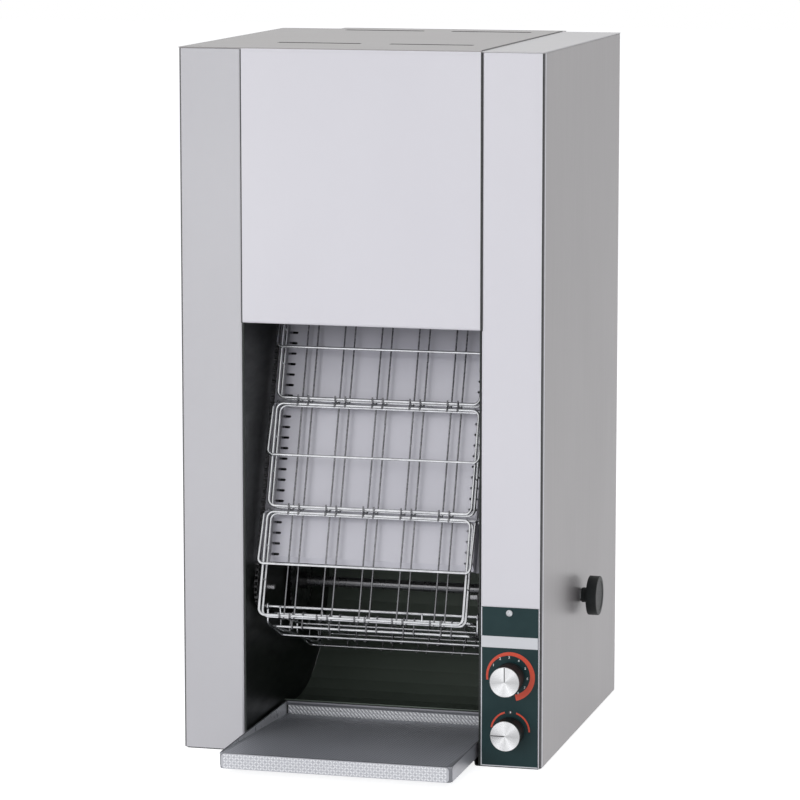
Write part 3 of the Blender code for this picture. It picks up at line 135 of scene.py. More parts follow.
world = bpy.data.worlds.new("studio")
bpy.context.scene.world = world
tree = new_tree(world)
soft = add_node(tree, "ShaderNodeBackground", {"Color": (0.94, 0.96, 1.0, 1), "Strength": AMBIENT})
white = add_node(tree, "ShaderNodeBackground", {"Color": (1, 1, 1, 1), "Strength": 1.0})
mixed = add_node(tree, "ShaderNodeMixShader",
                 {"Fac": seen_directly(tree), 1: soft.outputs[0], 2: white.outputs[0]})
add_node(tree, "ShaderNodeOutputWorld", {"Surface": mixed.outputs[0]})
bpy.context.scene.view_settings.view_transform = "Standard"

# %% Lamps
MIDDLE = (0, 0, 0.42)
LAMPS = [("key_lamp", (-1.9, -4.4, 1.0), 2.8, 75, False), ("front_lamp", (0.8, -4.2, 0.9), 2.8, 38, False),
         ("top_lamp", (-0.4, 0.3, 3.2), 2.4, 12, True)]
for name, place, size, power, glossy in LAMPS:
    lamp = bpy.data.lights.new(name, "AREA")
    lamp.size = size
    lamp.energy = power
    thing = add_object(name, lamp)
    thing.location = place
    thing.rotation_euler = (Vector(MIDDLE) - Vector(place)).to_track_quat("-Z", "Y").to_euler()
    thing.visible_glossy = glossy
print("lamps:", len(LAMPS))

# %% Floor
HALF_FLOOR, FLOOR_LEVEL = 15, 0.82


def rectangle(low, high):
    """The four corners of a rectangle, from two opposite ones."""
    return [(low[0], low[1]), (high[0], low[1]), (high[0], high[1]), (low[0], high[1])]


corners = rectangle((-HALF_FLOOR, -HALF_FLOOR), (HALF_FLOOR, HALF_FLOOR))
floor_mesh = bpy.data.meshes.new("floor")
floor_mesh.from_pydata([(x, y, 0) for x, y in corners], [], [(0, 1, 2, 3)])
floor = add_object("floor", floor_mesh)
floor_finish = bpy.data.materials.new("floor_paper")
tree = new_tree(floor_finish)
paper = add_node(tree, "ShaderNodeBsdfDiffuse", {"Color": (0.82, 0.82, 0.83, 1)})
lift = add_node(tree, "ShaderNodeMath", {0: seen_directly(tree), 1: FLOOR_LEVEL}, operation="MULTIPLY")
glow = add_node(tree, "ShaderNodeEmission", {"Strength": lift.outputs[0]})
both = add_node(tree, "ShaderNodeAddShader", {0: paper.outputs[0], 1: glow.outputs[0]})
add_node(tree, "ShaderNodeOutputMaterial", {"Surface": both.outputs[0]})
floor_mesh.materials.append(floor_finish)

# %% [markdown]
# ## Finishes
# Most of the toaster is sheet steel that was brushed, so its grain runs one way. Noise stretched along
# that way breaks up the roughness, and a faint bump bends the reflections. Each finish below is one
# Principled shader with the noise that the real surface shows, on Object coordinates.

# %% Finish helpers


def finish(name, metallic, specular=0.5):
    """A new material, its node tree and its Principled shader."""
    made = bpy.data.materials.new(name)
    made.use_nodes = True
    shader = made.node_tree.nodes["Principled BSDF"]
    shader.inputs["Metallic"].default_value = metallic
    shader.inputs["Specular IOR Level"].default_value = specular
    return made, made.node_tree, shader


def noise(tree, grain, detail=4.0, rough=0.6):
    """Noise on Object coordinates. The grain is one scale value, or one each for X, Y and Z."""
    scale = grain if isinstance(grain, tuple) else (grain, grain, grain)
    place = add_node(tree, "ShaderNodeTexCoord", {})
    mapping = add_node(tree, "ShaderNodeMapping", {"Scale": scale, "Vector": place.outputs["Object"]})
    settings = {"Scale": 1.0, "Detail": detail, "Roughness": rough, "Vector": mapping.outputs["Vector"]}
    return add_node(tree, "ShaderNodeTexNoise", settings).outputs["Fac"]


def uneven(tree, shader, value, low, high, start=0.3, end=0.7):
    """Roughness between two values by a pattern."""
    span = {"From Min": start, "From Max": end, "To Min": low, "To Max": high, "Value": value}
    ranged = add_node(tree, "ShaderNodeMapRange", span)
    tree.links.new(ranged.outputs["Result"], shader.inputs["Roughness"])


def two_colours(tree, shader, value, dark, light):
    """Base colour between two colours by a pattern."""
    ramp = add_node(tree, "ShaderNodeValToRGB", {"Fac": value})
    for stop, position, colour in zip(ramp.color_ramp.elements, (0.3, 0.7), (dark, light)):
        stop.position = position
        stop.color = (*colour, 1)
    tree.links.new(ramp.outputs["Color"], shader.inputs["Base Color"])


def bumped(tree, shader, value, strength, distance):
    """Small relief from a pattern."""
    bump = add_node(tree, "ShaderNodeBump", {"Strength": strength, "Distance": distance, "Height": value})
    tree.links.new(bump.outputs["Normal"], shader.inputs["Normal"])


def brushed(name, dark, light, grain, roughness, metallic):
    """Sheet steel brushed along one way: grain gives how close the lines stand on X, Y and Z."""
    made, tree, shader = finish(name, metallic)
    lines = noise(tree, grain, 3.0, 0.7)
    two_colours(tree, shader, noise(tree, (5, 5, 3), 2.0, 0.5), dark, light)
    uneven(tree, shader, lines, *roughness)
    bumped(tree, shader, lines, 0.05, 0.0004)
    return made


def clouded(name, metallic, roughness, grain, dark, light, rough_grain=None, relief=None, specular=0.5):
    """A finish with clouds of two colours. Its roughness is one value, or two with a grain of their own."""
    made, tree, shader = finish(name, metallic, specular)
    two_colours(tree, shader, noise(tree, grain), dark, light)
    if rough_grain:
        uneven(tree, shader, noise(tree, rough_grain), *roughness)
    else:
        shader.inputs["Roughness"].default_value = roughness
    if relief:
        relief_grain, strength, distance = relief
        bumped(tree, shader, noise(tree, relief_grain), strength, distance)
    return made


# %% Steel finishes
UP_GRAIN, LEVEL_GRAIN, SATIN = (900, 900, 7), (7, 900, 900), (0.3, 0.38)
outer_steel = brushed("outer_steel", (0.655, 0.645, 0.69), (0.68, 0.67, 0.712), UP_GRAIN, SATIN, 0.42)
column_steel = brushed("column_steel", (0.525, 0.52, 0.545), (0.55, 0.545, 0.57), UP_GRAIN, SATIN, 0.42)
# The right side and the rear cover take a darker copy of the panel steel: painted shade.
side_steel_painted_shade = brushed("side_steel_painted_shade", (0.362, 0.343, 0.348), (0.386, 0.366, 0.371), UP_GRAIN, (0.32, 0.4), 0.34)
top_steel = brushed("top_steel", (0.3, 0.284, 0.284), (0.318, 0.302, 0.302), LEVEL_GRAIN, SATIN, 0.34)
lid_steel = brushed("lid_steel", (0.55, 0.54, 0.555), (0.58, 0.57, 0.585), LEVEL_GRAIN, SATIN, 0.34)
shield_steel = brushed("shield_steel", (0.56, 0.555, 0.61), (0.62, 0.615, 0.67), (7, 400, 400), (0.3, 0.4),
                       0.45)
dark_steel = brushed("dark_steel", (0.026, 0.029, 0.028), (0.04, 0.044, 0.042), (14, 14, 60), (0.3, 0.42), 0.75)
edge_steel = brushed("edge_steel", (0.12, 0.118, 0.122), (0.15, 0.147, 0.152), UP_GRAIN, (0.34, 0.42), 0.3)
tray_face = brushed("tray_face", (0.5, 0.505, 0.54), (0.57, 0.575, 0.61), (60, 60, 60), (0.28, 0.4), 0.4)
# A lighter copy of the tray steel for the apron and back-wall bumps and the inner side walls: painted
# highlights, and painted light on walls in shade.
tray_painted_light = brushed("tray_painted_light", (0.82, 0.83, 0.86), (0.92, 0.93, 0.96), (60, 60, 60), (0.24, 0.34), 0.3)
# The floor's bumps are lighter than the floor they are pressed from: painted highlights.
tray_bump_painted_highlight = brushed("tray_bump_painted_highlight", (0.44, 0.455, 0.5), (0.54, 0.555, 0.6), (30, 30, 30), (0.3, 0.4), 0.25)
chute_steel = brushed("chute_steel", (0.11, 0.135, 0.112), (0.15, 0.178, 0.152), (6, 60, 60), (0.4, 0.52), 0.2)
tray_floor = brushed("tray_floor", (0.3, 0.312, 0.345), (0.38, 0.392, 0.425), (9, 14, 9), (0.34, 0.44), 0.25)
tray_side = brushed("tray_side", (0.205, 0.21, 0.23), (0.25, 0.255, 0.275), (300, 8, 300), (0.32, 0.42), 0.55)
tray_wall = brushed("tray_wall", (0.44, 0.44, 0.48), (0.51, 0.51, 0.55), (60, 8, 60), (0.32, 0.42), 0.45)
turned_steel = brushed("turned_steel", (0.3, 0.3, 0.31), (0.4, 0.4, 0.42), (160, 30, 30), (0.24, 0.32), 0.9)

# %% Wire, chain and element finishes
bright_wire = clouded("bright_wire", 0.92, (0.14, 0.28), 60, (0.56, 0.565, 0.585), (0.78, 0.79, 0.81), 300)
# The grid wires take a darker copy of the basket wire: painted shade.
grid_wire = clouded("grid_wire", 0.92, (0.2, 0.34), 60, (0.17, 0.17, 0.18), (0.3, 0.3, 0.315), 300)
chain_steel = clouded("chain_steel", 0.85, (0.28, 0.5), 120, (0.035, 0.034, 0.034), (0.16, 0.16, 0.165), 260)
element_sheath = clouded("element_sheath", 0.6, 0.5, (25, 90, 90), (0.09, 0.075, 0.07), (0.22, 0.19, 0.17),
                         relief=(500, 0.15, 0.0003))
bearing_bronze = clouded("bearing_bronze", 0.9, 0.4, 150, (0.3, 0.18, 0.08), (0.52, 0.34, 0.15))

# %% Moulded, printed and painted finishes
knob_black = clouded("knob_black", 0.0, (0.42, 0.55), 90, (0.009, 0.011, 0.011), (0.016, 0.019, 0.019), 700,
                     specular=0.22)
# Black moulding. The same black also paints shade on the vent slot walls and rims, the front seams and the
# tray's back corners.
moulded_black = clouded("moulded_black", 0.0, 0.5, 200, (0.018, 0.018, 0.018), (0.035, 0.035, 0.036),
                        relief=(1500, 0.2, 0.0002))
panel_print = clouded("panel_print", 0.0, 0.42, 30, (0.01, 0.031, 0.034), (0.015, 0.04, 0.043),
                      relief=(1800, 0.1, 0.0001), specular=0.25)
print_red = clouded("print_red", 0.0, 0.4, 150, (0.74, 0.085, 0.045), (0.8, 0.105, 0.055))
# White print, also used for the lowest bumps on the tray's back wall as painted glints.
print_white_and_painted_glint = clouded("print_white_and_painted_glint", 0.0, 0.45, 150, (0.8, 0.82, 0.82), (0.9, 0.91, 0.91))
print_silver = brushed("print_silver", (0.52, 0.53, 0.56), (0.6, 0.61, 0.64), (7, 700, 700), (0.28, 0.38), 0.6)
bright_screw = clouded("bright_screw", 0.5, 0.35, 400, (0.55, 0.56, 0.58), (0.7, 0.71, 0.73))
motor_paint = clouded("motor_paint", 0.3, 0.5, 60, (0.1, 0.105, 0.11), (0.16, 0.165, 0.17),
                      relief=(900, 0.25, 0.0003))

# %% Spun aluminium
# The face of each knob was turned on a lathe, so its fine rings throw the light out in bright wedges. Here
# those wedges are painted highlights: the base colour goes lighter and darker by the angle round the knob.
# The face has UV coordinates: U goes once round the knob and V goes from the middle to the rim.
# Painted highlight: each stop is a share of the way round and the base colour's level there.
PAINTED_WEDGE_HIGHLIGHTS = [(0.00, 0.5), (0.07, 0.6), (0.13, 0.8), (0.21, 0.72), (0.27, 0.86), (0.38, 0.74), (0.46, 0.6),
          (0.52, 0.52), (0.59, 0.74), (0.66, 0.88), (0.74, 0.7), (0.83, 0.9), (0.92, 0.62), (1.00, 0.5)]
spun_aluminium, tree, shader = finish("spun_aluminium", 0.75)
place = add_node(tree, "ShaderNodeUVMap", {}, uv_map="turned").outputs["UV"]
parted = add_node(tree, "ShaderNodeSeparateXYZ", {"Vector": place})
highlight_wedge = add_node(tree, "ShaderNodeValToRGB", {"Fac": parted.outputs["X"]})
for share, level in PAINTED_WEDGE_HIGHLIGHTS[1:-1]:
    highlight_wedge.color_ramp.elements.new(share)
for stop, (share, level) in zip(highlight_wedge.color_ramp.elements, PAINTED_WEDGE_HIGHLIGHTS):
    stop.position = share
    stop.color = (level, level * 1.003, level * 1.015, 1)
rings = add_node(tree, "ShaderNodeTexWave", {"Scale": 18, "Distortion": 0.6, "Vector": place},
                 wave_type="BANDS", bands_direction="Y").outputs["Fac"]
tree.links.new(highlight_wedge.outputs["Color"], shader.inputs["Base Color"])
uneven(tree, shader, rings, 0.24, 0.36, 0.0, 1.0)
bumped(tree, shader, rings, 0.15, 0.0002)

# %% Give the CAD solids their finishes
KEPT = {
    outer_steel: ["hood_front", "right_front_panel"],
    column_steel: ["left_panel"],
    side_steel_painted_shade: ["right_side_panel", "rear_cover"],
    top_steel: ["top_cover"],
    lid_steel: ["right_top_cover"],
    dark_steel: ["chamber_wall_left", "chamber_wall_right", "base_pan"],
    chute_steel: ["discharge_chute"],
    shield_steel: ["front_reflector", "rear_reflector", "load_shield"],
    turned_steel: ["drive_shaft", "top_shaft", "idler_pin_left", "idler_pin_right", "drive_gear",
                   "motor_pinion", "control_panel_screw"],
    bearing_bronze: ["drive_bearing_left", "drive_bearing_right", "top_bearing_left", "top_bearing_right"],
    chain_steel: ["drive_sprocket_left", "drive_sprocket_right", "top_sprocket_left", "top_sprocket_right",
                  "idler_sprocket_left", "idler_sprocket_right", "chain_left", "chain_right"],
    element_sheath: ["inner_front_element", "inner_rear_element", "outer_front_element", "outer_rear_element"],
    bright_wire: [name for name in frame["nodes"] if name.startswith("basket_")],
    knob_black: ["hand_knob", "speed_knob_skirt", "heat_knob_skirt"],
    spun_aluminium: ["speed_knob_cap", "heat_knob_cap"],
    panel_print: ["control_panel"],
    moulded_black: ["speed_control", "heat_switch", "terminal_block", "cord_gland"],
    motor_paint: ["gearmotor"],
    tray_floor: ["toast_tray"],
}
for material, names in KEPT.items():
    for name in names:
        mesh = frame["nodes"][name].data
        mesh.materials.clear()
        mesh.materials.append(material)

# %% Darker folds and cut edges
# A fold's outer bend and the cut sides of the vent slots catch no lamp, so they read as dark lines.
SLOTS_TO_BACK, SLOTS_TO_LEFT, SLOTS_TO_FRONT, SLOTS_TO_RIGHT = 0.03, 0.03, 0.02, 0.005
dark_faces = 0
for node, side in (("left_panel", -1), ("right_front_panel", 1)):
    mesh = frame["nodes"][node].data
    mesh.materials.append(edge_steel)
    for polygon in mesh.polygons:
        if polygon.normal.x * side > 0.3 and polygon.normal.y < -0.3:
            polygon.material_index = 1
            dark_faces += 1
cover_mesh = frame["nodes"]["top_cover"].data
cover_mesh.materials.append(moulded_black)
cover_low, cover_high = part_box("top_cover")
slot_faces = []
for polygon in cover_mesh.polygons:
    middle = polygon.center
    if abs(polygon.normal.z) < 0.5 \
            and cover_low.y + SLOTS_TO_FRONT < middle.y < cover_high.y - SLOTS_TO_BACK \
            and cover_low.x + SLOTS_TO_LEFT < middle.x < cover_high.x - SLOTS_TO_RIGHT:
        polygon.material_index = 1
        slot_faces.append(polygon)
print("dark faces:", dark_faces + len(slot_faces))

# %% [markdown]
# ## The chain's path
# Two chains carry the baskets round three wheels on each side. Everything that rides on them is placed
# by its distance along that path, so the path is worked out once from the wheels' axes and the chain's
# pitch, and then any piece can ask where it stands and which way it heads.

# %% Path of the chain
CHAIN_PITCH = 0.00635
WHEEL_TEETH = {"idler_pin_left": 21, "top_shaft": 38, "drive_shaft": 45}


def box_middle(node):
    low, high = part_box(node)
    return (low + high) / 2


wheels = []
for node, teeth in WHEEL_TEETH.items():
    middle = box_middle(node)
    wheels.append((middle.y, middle.z, CHAIN_PITCH / (2 * sin(pi / teeth))))

headings, lengths = [], []
for wheel, following in zip(wheels, wheels[1:] + wheels[:1]):
    across, rise, grow = (following[index] - wheel[index] for index in range(3))
    span = hypot(across, rise)
    headings.append(atan2(rise, across) + asin(grow / span))
    lengths.append(sqrt(span ** 2 - grow ** 2))
path_pieces = []
for index in range(3):
    after = (index + 1) % 3
    swing = (headings[index] - headings[after]) % (2 * pi)
    path_pieces.append(("run", wheels[index], headings[index], lengths[index]))
    path_pieces.append(("turn", wheels[after], headings[index], swing * wheels[after][2]))
PATH_LENGTH = sum(piece[3] for piece in path_pieces)
LINK_COUNT = round(PATH_LENGTH / CHAIN_PITCH)
print("chain path:", round(PATH_LENGTH, 4), "m,", LINK_COUNT, "links")


def on_path(distance, outward=0.0):
    """Y, Z and heading at a distance along the chain, clockwise seen from the right."""
    distance %= PATH_LENGTH
    for kind, wheel, heading, length in path_pieces:
        if distance <= length:
            break
        distance -= length
    along = distance
    if kind == "turn":
        heading -= distance / wheel[2]
        along = 0
    reach = wheel[2] + outward
    return (wheel[0] - reach * sin(heading) + along * cos(heading),
            wheel[1] + reach * cos(heading) + along * sin(heading), heading)


# %% [markdown]
# ## Geometry Nodes helpers
# Much of the toaster is one small form repeated, or a wire that follows a line. Geometry Nodes suits
# both. These helpers make a tree with named inputs, run it on an object, and keep the result as a plain
# mesh, because the modifier itself would not survive the export.

# %% Modifiers and trees


def kept_plain(thing, modifier):
    """Ends one modifier: the object keeps the plain mesh that comes out of it."""
    bpy.context.view_layer.update()
    plain = bpy.data.meshes.new_from_object(thing.evaluated_get(bpy.context.evaluated_depsgraph_get()))
    thing.modifiers.remove(modifier)
    thing.data = plain
    return thing


def applied(thing, kind, **settings):
    modifier = thing.modifiers.new("form", kind)
    for name, value in settings.items():
        setattr(modifier, name, value)
    return kept_plain(thing, modifier)


def run_tree(thing, made, values):
    """Runs a geometry tree on an object, with its named inputs set."""
    modifier = thing.modifiers.new("form", "NODES")
    modifier.node_group = made
    for item in made.interface.items_tree:
        if item.item_type == "SOCKET" and item.in_out == "INPUT" and item.name in values:
            modifier[item.identifier] = values[item.name]
    return kept_plain(thing, modifier)


def geometry_tree(name, inputs):
    """A geometry tree with named inputs, and its first and last nodes."""
    made = bpy.data.node_groups.new(name, "GeometryNodeTree")
    made.interface.new_socket("Geometry", in_out="INPUT", socket_type="NodeSocketGeometry")
    for label, kind in inputs:
        made.interface.new_socket(label, in_out="INPUT", socket_type="NodeSocket" + kind)
    made.interface.new_socket("Geometry", in_out="OUTPUT", socket_type="NodeSocketGeometry")
    return made, made.nodes.new("NodeGroupInput"), made.nodes.new("NodeGroupOutput")


def chained(made, *nodes):
    """Links geometry from each node to the next."""
    for first, second in zip(nodes, nodes[1:]):
        source = next(socket for socket in first.outputs if socket.type == "GEOMETRY")
        target = next(socket for socket in second.inputs if socket.type == "GEOMETRY")
        made.links.new(source, target)


# %% Wire tree
# A skeleton of edges goes in, each point with its own wire radius, and round wire comes out.
wire_tree, wire_in, wire_out = geometry_tree("wire", [("Sides", "Int"), ("Material", "Material")])
thickness = add_node(wire_tree, "GeometryNodeInputNamedAttribute", {"Name": "wire_radius"}, data_type="FLOAT")
ring = add_node(wire_tree, "GeometryNodeCurvePrimitiveCircle",
                {"Radius": 1.0, "Resolution": wire_in.outputs["Sides"]})
to_wire = add_node(wire_tree, "GeometryNodeCurveToMesh",
                   {"Fill Caps": True, "Profile Curve": ring.outputs["Curve"],
                    "Scale": thickness.outputs["Attribute"]})
paint = add_node(wire_tree, "GeometryNodeSetMaterial", {"Material": wire_in.outputs["Material"]})
chained(wire_tree, wire_in, wire_tree.nodes.new("GeometryNodeMeshToCurve"), to_wire,
        wire_tree.nodes.new("GeometryNodeRealizeInstances"),
        wire_tree.nodes.new("GeometryNodeSetShadeSmooth"), paint, wire_out)


def rounded_line(points, radius, steps, closed=False):
    """A 3-D line with its corners turned into arcs."""
    corners = [Vector(point) for point in points]
    line = []
    for index, corner in enumerate(corners):
        if not closed and index in (0, len(corners) - 1):
            line.append(corner)
            continue
        before = (corners[index - 1] - corner).normalized()
        after = (corners[(index + 1) % len(corners)] - corner).normalized()
        half_turn = before.angle(after) / 2
        if half_turn > pi / 2 - 0.01:
            line.append(corner)
            continue
        centre = corner + (before + after).normalized() * radius / sin(half_turn)
        reach = radius * cos(half_turn) / sin(half_turn)
        start, end = corner + before * reach - centre, corner + after * reach - centre
        for step in range(steps + 1):
            line.append(centre + start.normalized().slerp(end.normalized(), step / steps) * radius)
    return line


def wire_object(name, wires, sides, material):
    """Round wire along several lines: each is its points, its radius and whether it is closed."""
    points, edges, radii = [], [], []
    for line, radius, closed in wires:
        first = len(points)
        points += [tuple(point) for point in line]
        radii += [radius] * len(line)
        edges += [(first + index, first + index + 1) for index in range(len(line) - 1)]
        if closed:
            edges.append((len(points) - 1, first))
    mesh = bpy.data.meshes.new(name)
    mesh.from_pydata(points, edges, [])
    mesh.attributes.new("wire_radius", "FLOAT", "POINT").data.foreach_set("value", radii)
    thing = run_tree(add_object(name, mesh), wire_tree, {"Sides": sides, "Material": material})
    shape = bmesh.new()
    shape.from_mesh(thing.data)
    bmesh.ops.recalc_face_normals(shape, faces=shape.faces)
    shape.to_mesh(thing.data)
    shape.free()
    return thing


# %% Tree that sets a copy on each point
row_tree, row_in, row_out = geometry_tree("copies_on_points", [("Copy", "Object"), ("Material", "Material")])
turn = add_node(row_tree, "GeometryNodeInputNamedAttribute", {"Name": "turn"}, data_type="FLOAT_VECTOR")
to_rotation = add_node(row_tree, "FunctionNodeEulerToRotation", {"Euler": turn.outputs["Attribute"]})
info = add_node(row_tree, "GeometryNodeObjectInfo", {"Object": row_in.outputs["Copy"]})
place = add_node(row_tree, "GeometryNodeInstanceOnPoints",
                 {"Rotation": to_rotation.outputs["Rotation"], "Instance": info.outputs["Geometry"]})
paint = add_node(row_tree, "GeometryNodeSetMaterial", {"Material": row_in.outputs["Material"]})
chained(row_tree, row_in, place, row_tree.nodes.new("GeometryNodeRealizeInstances"), paint, row_out)


def copies(name, form, places, material):
    """A plain mesh with a copy of a form at each place, turned as that place says."""
    mesh = bpy.data.meshes.new(name)
    mesh.from_pydata([place for place, _ in places], [], [])
    turns = [angle for _, euler in places for angle in euler]
    mesh.attributes.new("turn", "FLOAT_VECTOR", "POINT").data.foreach_set("vector", turns)
    return run_tree(add_object(name, mesh), row_tree, {"Copy": form, "Material": material})


# %% [markdown]
# ## Helpers for sheet and turned pieces
# Most of the other pieces are flat sheet with rounded outlines, or were turned on a lathe. A flat outline
# pushed through a thickness gives the first kind, and a profile swept once round gives the second. Both
# are written once here, with a short way to say which body a piece rides on and what it stands for.

# %% Flat and turned forms


def dress(thing, body, slot, *nodes):
    """Lets a piece ride on a body and stand for the solids that it replaces."""
    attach(thing, body)
    if nodes:
        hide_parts(*nodes)
    return thing


def rounded_flat(points, radius, steps, closed=False):
    """A line or a closed outline in two directions, with its corners turned into arcs."""
    line = rounded_line([(first, second, 0) for first, second in points], radius, steps, closed)
    return [(point.x, point.y) for point in line]


def oblong(low, high, radius, steps=4):
    return rounded_flat(rectangle(low, high), radius, steps, True)


def from_shape(name, shape, material, smooth_below=None):
    """Ends a bmesh as an object with its faces outwards."""
    bmesh.ops.recalc_face_normals(shape, faces=shape.faces)
    mesh = bpy.data.meshes.new(name)
    shape.to_mesh(mesh)
    shape.free()
    if material:
        mesh.materials.append(material)
    if smooth_below:
        mesh.shade_smooth()
        mesh.set_sharp_from_angle(angle=radians(smooth_below))
    return add_object(name, mesh)


def plates(name, parts, material, axis=0):
    """One piece from flat outlines, each made solid between two places on X, or on another axis."""
    shape = bmesh.new()
    for outline, low, high in parts:
        near, far = ([shape.verts.new((*point[:axis], place, *point[axis:])) for point in outline]
                     for place in (low, high))
        shape.faces.new(near)
        shape.faces.new(reversed(far))
        for index in range(len(outline)):
            after = (index + 1) % len(outline)
            shape.faces.new((near[index], far[index], far[after], near[after]))
    return from_shape(name, shape, material)


def front_plate(name, outlines, front, thickness, material):
    """Outlines in X and Z made solid from a front plane towards the back."""
    return plates(name, [(outline, front, front + thickness) for outline in outlines], material, 1)


def skin(shape, rows, closed=False):
    """Faces between rows of points. A closed row is a loop, and a row of one point is a tip."""
    count = max(len(row) for row in rows)
    for first, second in zip(rows, rows[1:]):
        for index in range(count if closed else count - 1):
            after = (index + 1) % count
            corners = [first[index % len(first)], first[after % len(first)],
                       second[after % len(second)], second[index % len(second)]]
            shape.faces.new(list(dict.fromkeys(corners)))


def turned(name, profile, sides, place, facing, material, smooth_below=30):
    """A profile of (radius, distance) swept round a line that starts at a place and faces one way."""
    shape = bmesh.new()
    stand = Matrix.Translation(place) @ Vector(facing).to_track_quat("Z", "Y").to_matrix().to_4x4()
    rings = []
    for radius, along in profile:
        angles = [2 * pi * side / sides for side in range(sides if radius > 0 else 1)]
        rings.append([shape.verts.new(stand @ Vector((radius * cos(angle), radius * sin(angle), along)))
                      for angle in angles])
    skin(shape, rings, closed=True)
    return from_shape(name, shape, material, smooth_below)


def softened(thing, width):
    """Bevels the sharp edges."""
    return applied(thing, "BEVEL", width=width, segments=2, limit_method="ANGLE", angle_limit=radians(40))


def bored(thing, cutter):
    """Cuts one object out of another."""
    applied(thing, "BOOLEAN", operation="DIFFERENCE", solver="EXACT", object=cutter)
    bpy.data.objects.remove(cutter)
    return thing


def stood(place, angle, axis):
    """A turn about one axis and then a move to a place."""
    return Matrix.Translation(place) @ Matrix.Rotation(angle, 4, axis)


# %% [markdown]
# ## Bread baskets
# Each basket is welded from bright wire: a cross rod that the chains hold, a back and a front frame, five
# pairs of grid wires that hook round both frames, ties to the rod, and a bail that keeps the bread in.
# The solids have square wire and sharp corners. Here the same wires are round, with true bends and the
# hooked ends that catch the light. One basket is drawn at the rod, and then set at its eleven places.

# %% One basket
BASKET_COUNT, FIRST_BASKET = 11, 0.0828
FRAME_HALF_WIDTH, FRAME_TOP, FRAME_LOW, FRAME_BEND = 0.1172, -0.003, -0.1196, 0.0075
BACK_FRAME, FRONT_FRAME = -0.0075, -0.022
ROD_WIRE, FRAME_WIRE, GRID_WIRE, BAIL_WIRE, TIE_WIRE, EYE_WIRE = 0.0017, 0.0016, 0.00095, 0.0015, 0.0011, 0.0012
PAIR_STEP, PAIR_GAP, HOOK_END, HOOK_BEND = 0.0433, 0.0119, 0.003, 0.0018
ROD_HALF, EYE_RADIUS = 0.1272, 0.0032
BAIL_HALF, BAIL_REACH, BAIL_DROP = 0.122, -0.0267, -0.0624
WIRE_SIDES = 10


def frame_line(depth):
    corners = rectangle((-FRAME_HALF_WIDTH, FRAME_TOP), (FRAME_HALF_WIDTH, FRAME_LOW))
    return rounded_line([(x, depth, z) for x, z in corners], FRAME_BEND, 6, closed=True)


def grid_line(x):
    """Hooked over the front frame's top, down the back grid and up round the front frame's foot."""
    over = FRAME_WIRE + GRID_WIRE
    front, back = FRONT_FRAME - over, BACK_FRAME + over
    corners = [(front, FRAME_TOP - HOOK_END), (front, FRAME_TOP + over), (back, FRAME_TOP + over),
               (back, FRAME_LOW - over), (front, FRAME_LOW - over), (front, FRAME_LOW + HOOK_END)]
    return rounded_line([(x, y, z) for y, z in corners], HOOK_BEND, 3)


wires = [([(-ROD_HALF, 0, 0), (ROD_HALF, 0, 0)], ROD_WIRE, False),
         (frame_line(BACK_FRAME), FRAME_WIRE, True), (frame_line(FRONT_FRAME), FRAME_WIRE, True)]
grid = [(grid_line(pair * PAIR_STEP + side * PAIR_GAP / 2), GRID_WIRE, False)
        for pair in range(-2, 3) for side in (-1, 1)]
for side in (-1, 1):
    for x in (0.058, FRAME_HALF_WIDTH - 0.01):
        tie = ((0.0, 0.0022), (-0.003, 0.0005), (BACK_FRAME, FRAME_TOP + 0.0016))
        wires.append(([(side * x, *point) for point in tie], TIE_WIRE, False))
    for z in (-0.04, -0.079):
        brace = [(side * FRAME_HALF_WIDTH, y, z) for y in (BACK_FRAME, FRONT_FRAME)]
        wires.append((brace, GRID_WIRE, False))
    eye = [(side * BAIL_HALF, EYE_RADIUS * cos(turn * pi / 6), EYE_RADIUS * sin(turn * pi / 6))
           for turn in range(12)]
    wires.append((eye, EYE_WIRE, True))
arm = [(-EYE_RADIUS, 0), (-0.019, -0.004), (BAIL_REACH, BAIL_DROP)]
bail = [(-BAIL_HALF, *point) for point in arm] + [(BAIL_HALF, *point) for point in reversed(arm)]
wires.append((rounded_line(bail, 0.006, 6), BAIL_WIRE, False))
pattern = wire_object("basket_pattern", wires, WIRE_SIDES, bright_wire)
# The grid wires are drawn with the darker grid finish, as painted shade.
grid_pattern = wire_object("grid_pattern", grid, WIRE_SIDES, grid_wire)
print("one basket:", len(pattern.data.polygons) + len(grid_pattern.data.polygons), "faces")

# %% Eleven baskets on the chains
CHAMBER_MIDDLE = (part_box("chain_left")[0].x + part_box("chain_right")[1].x) / 2
for number in range(BASKET_COUNT):
    y, z, heading = on_path(FIRST_BASKET + number * PATH_LENGTH / BASKET_COUNT)
    node = f"basket_{number + 1:02d}"
    for word, source, stands_for in (("wire", pattern, [node]), ("grid", grid_pattern, [])):
        mesh = source.data.copy()
        mesh.transform(stood((CHAMBER_MIDDLE, y, z), heading - pi / 2, "X"))
        dress(add_object(f"{word}_{node}", mesh), node + "_body", "bright_wire", *stands_for)
bpy.data.objects.remove(pattern)
bpy.data.objects.remove(grid_pattern)

# %% [markdown]
# ## Chains
# A chain is one link over and over, so a link is modelled once with two side plates and a roller, and
# Geometry Nodes sets it at each pitch along the path. Each point carries the turn that its link needs.

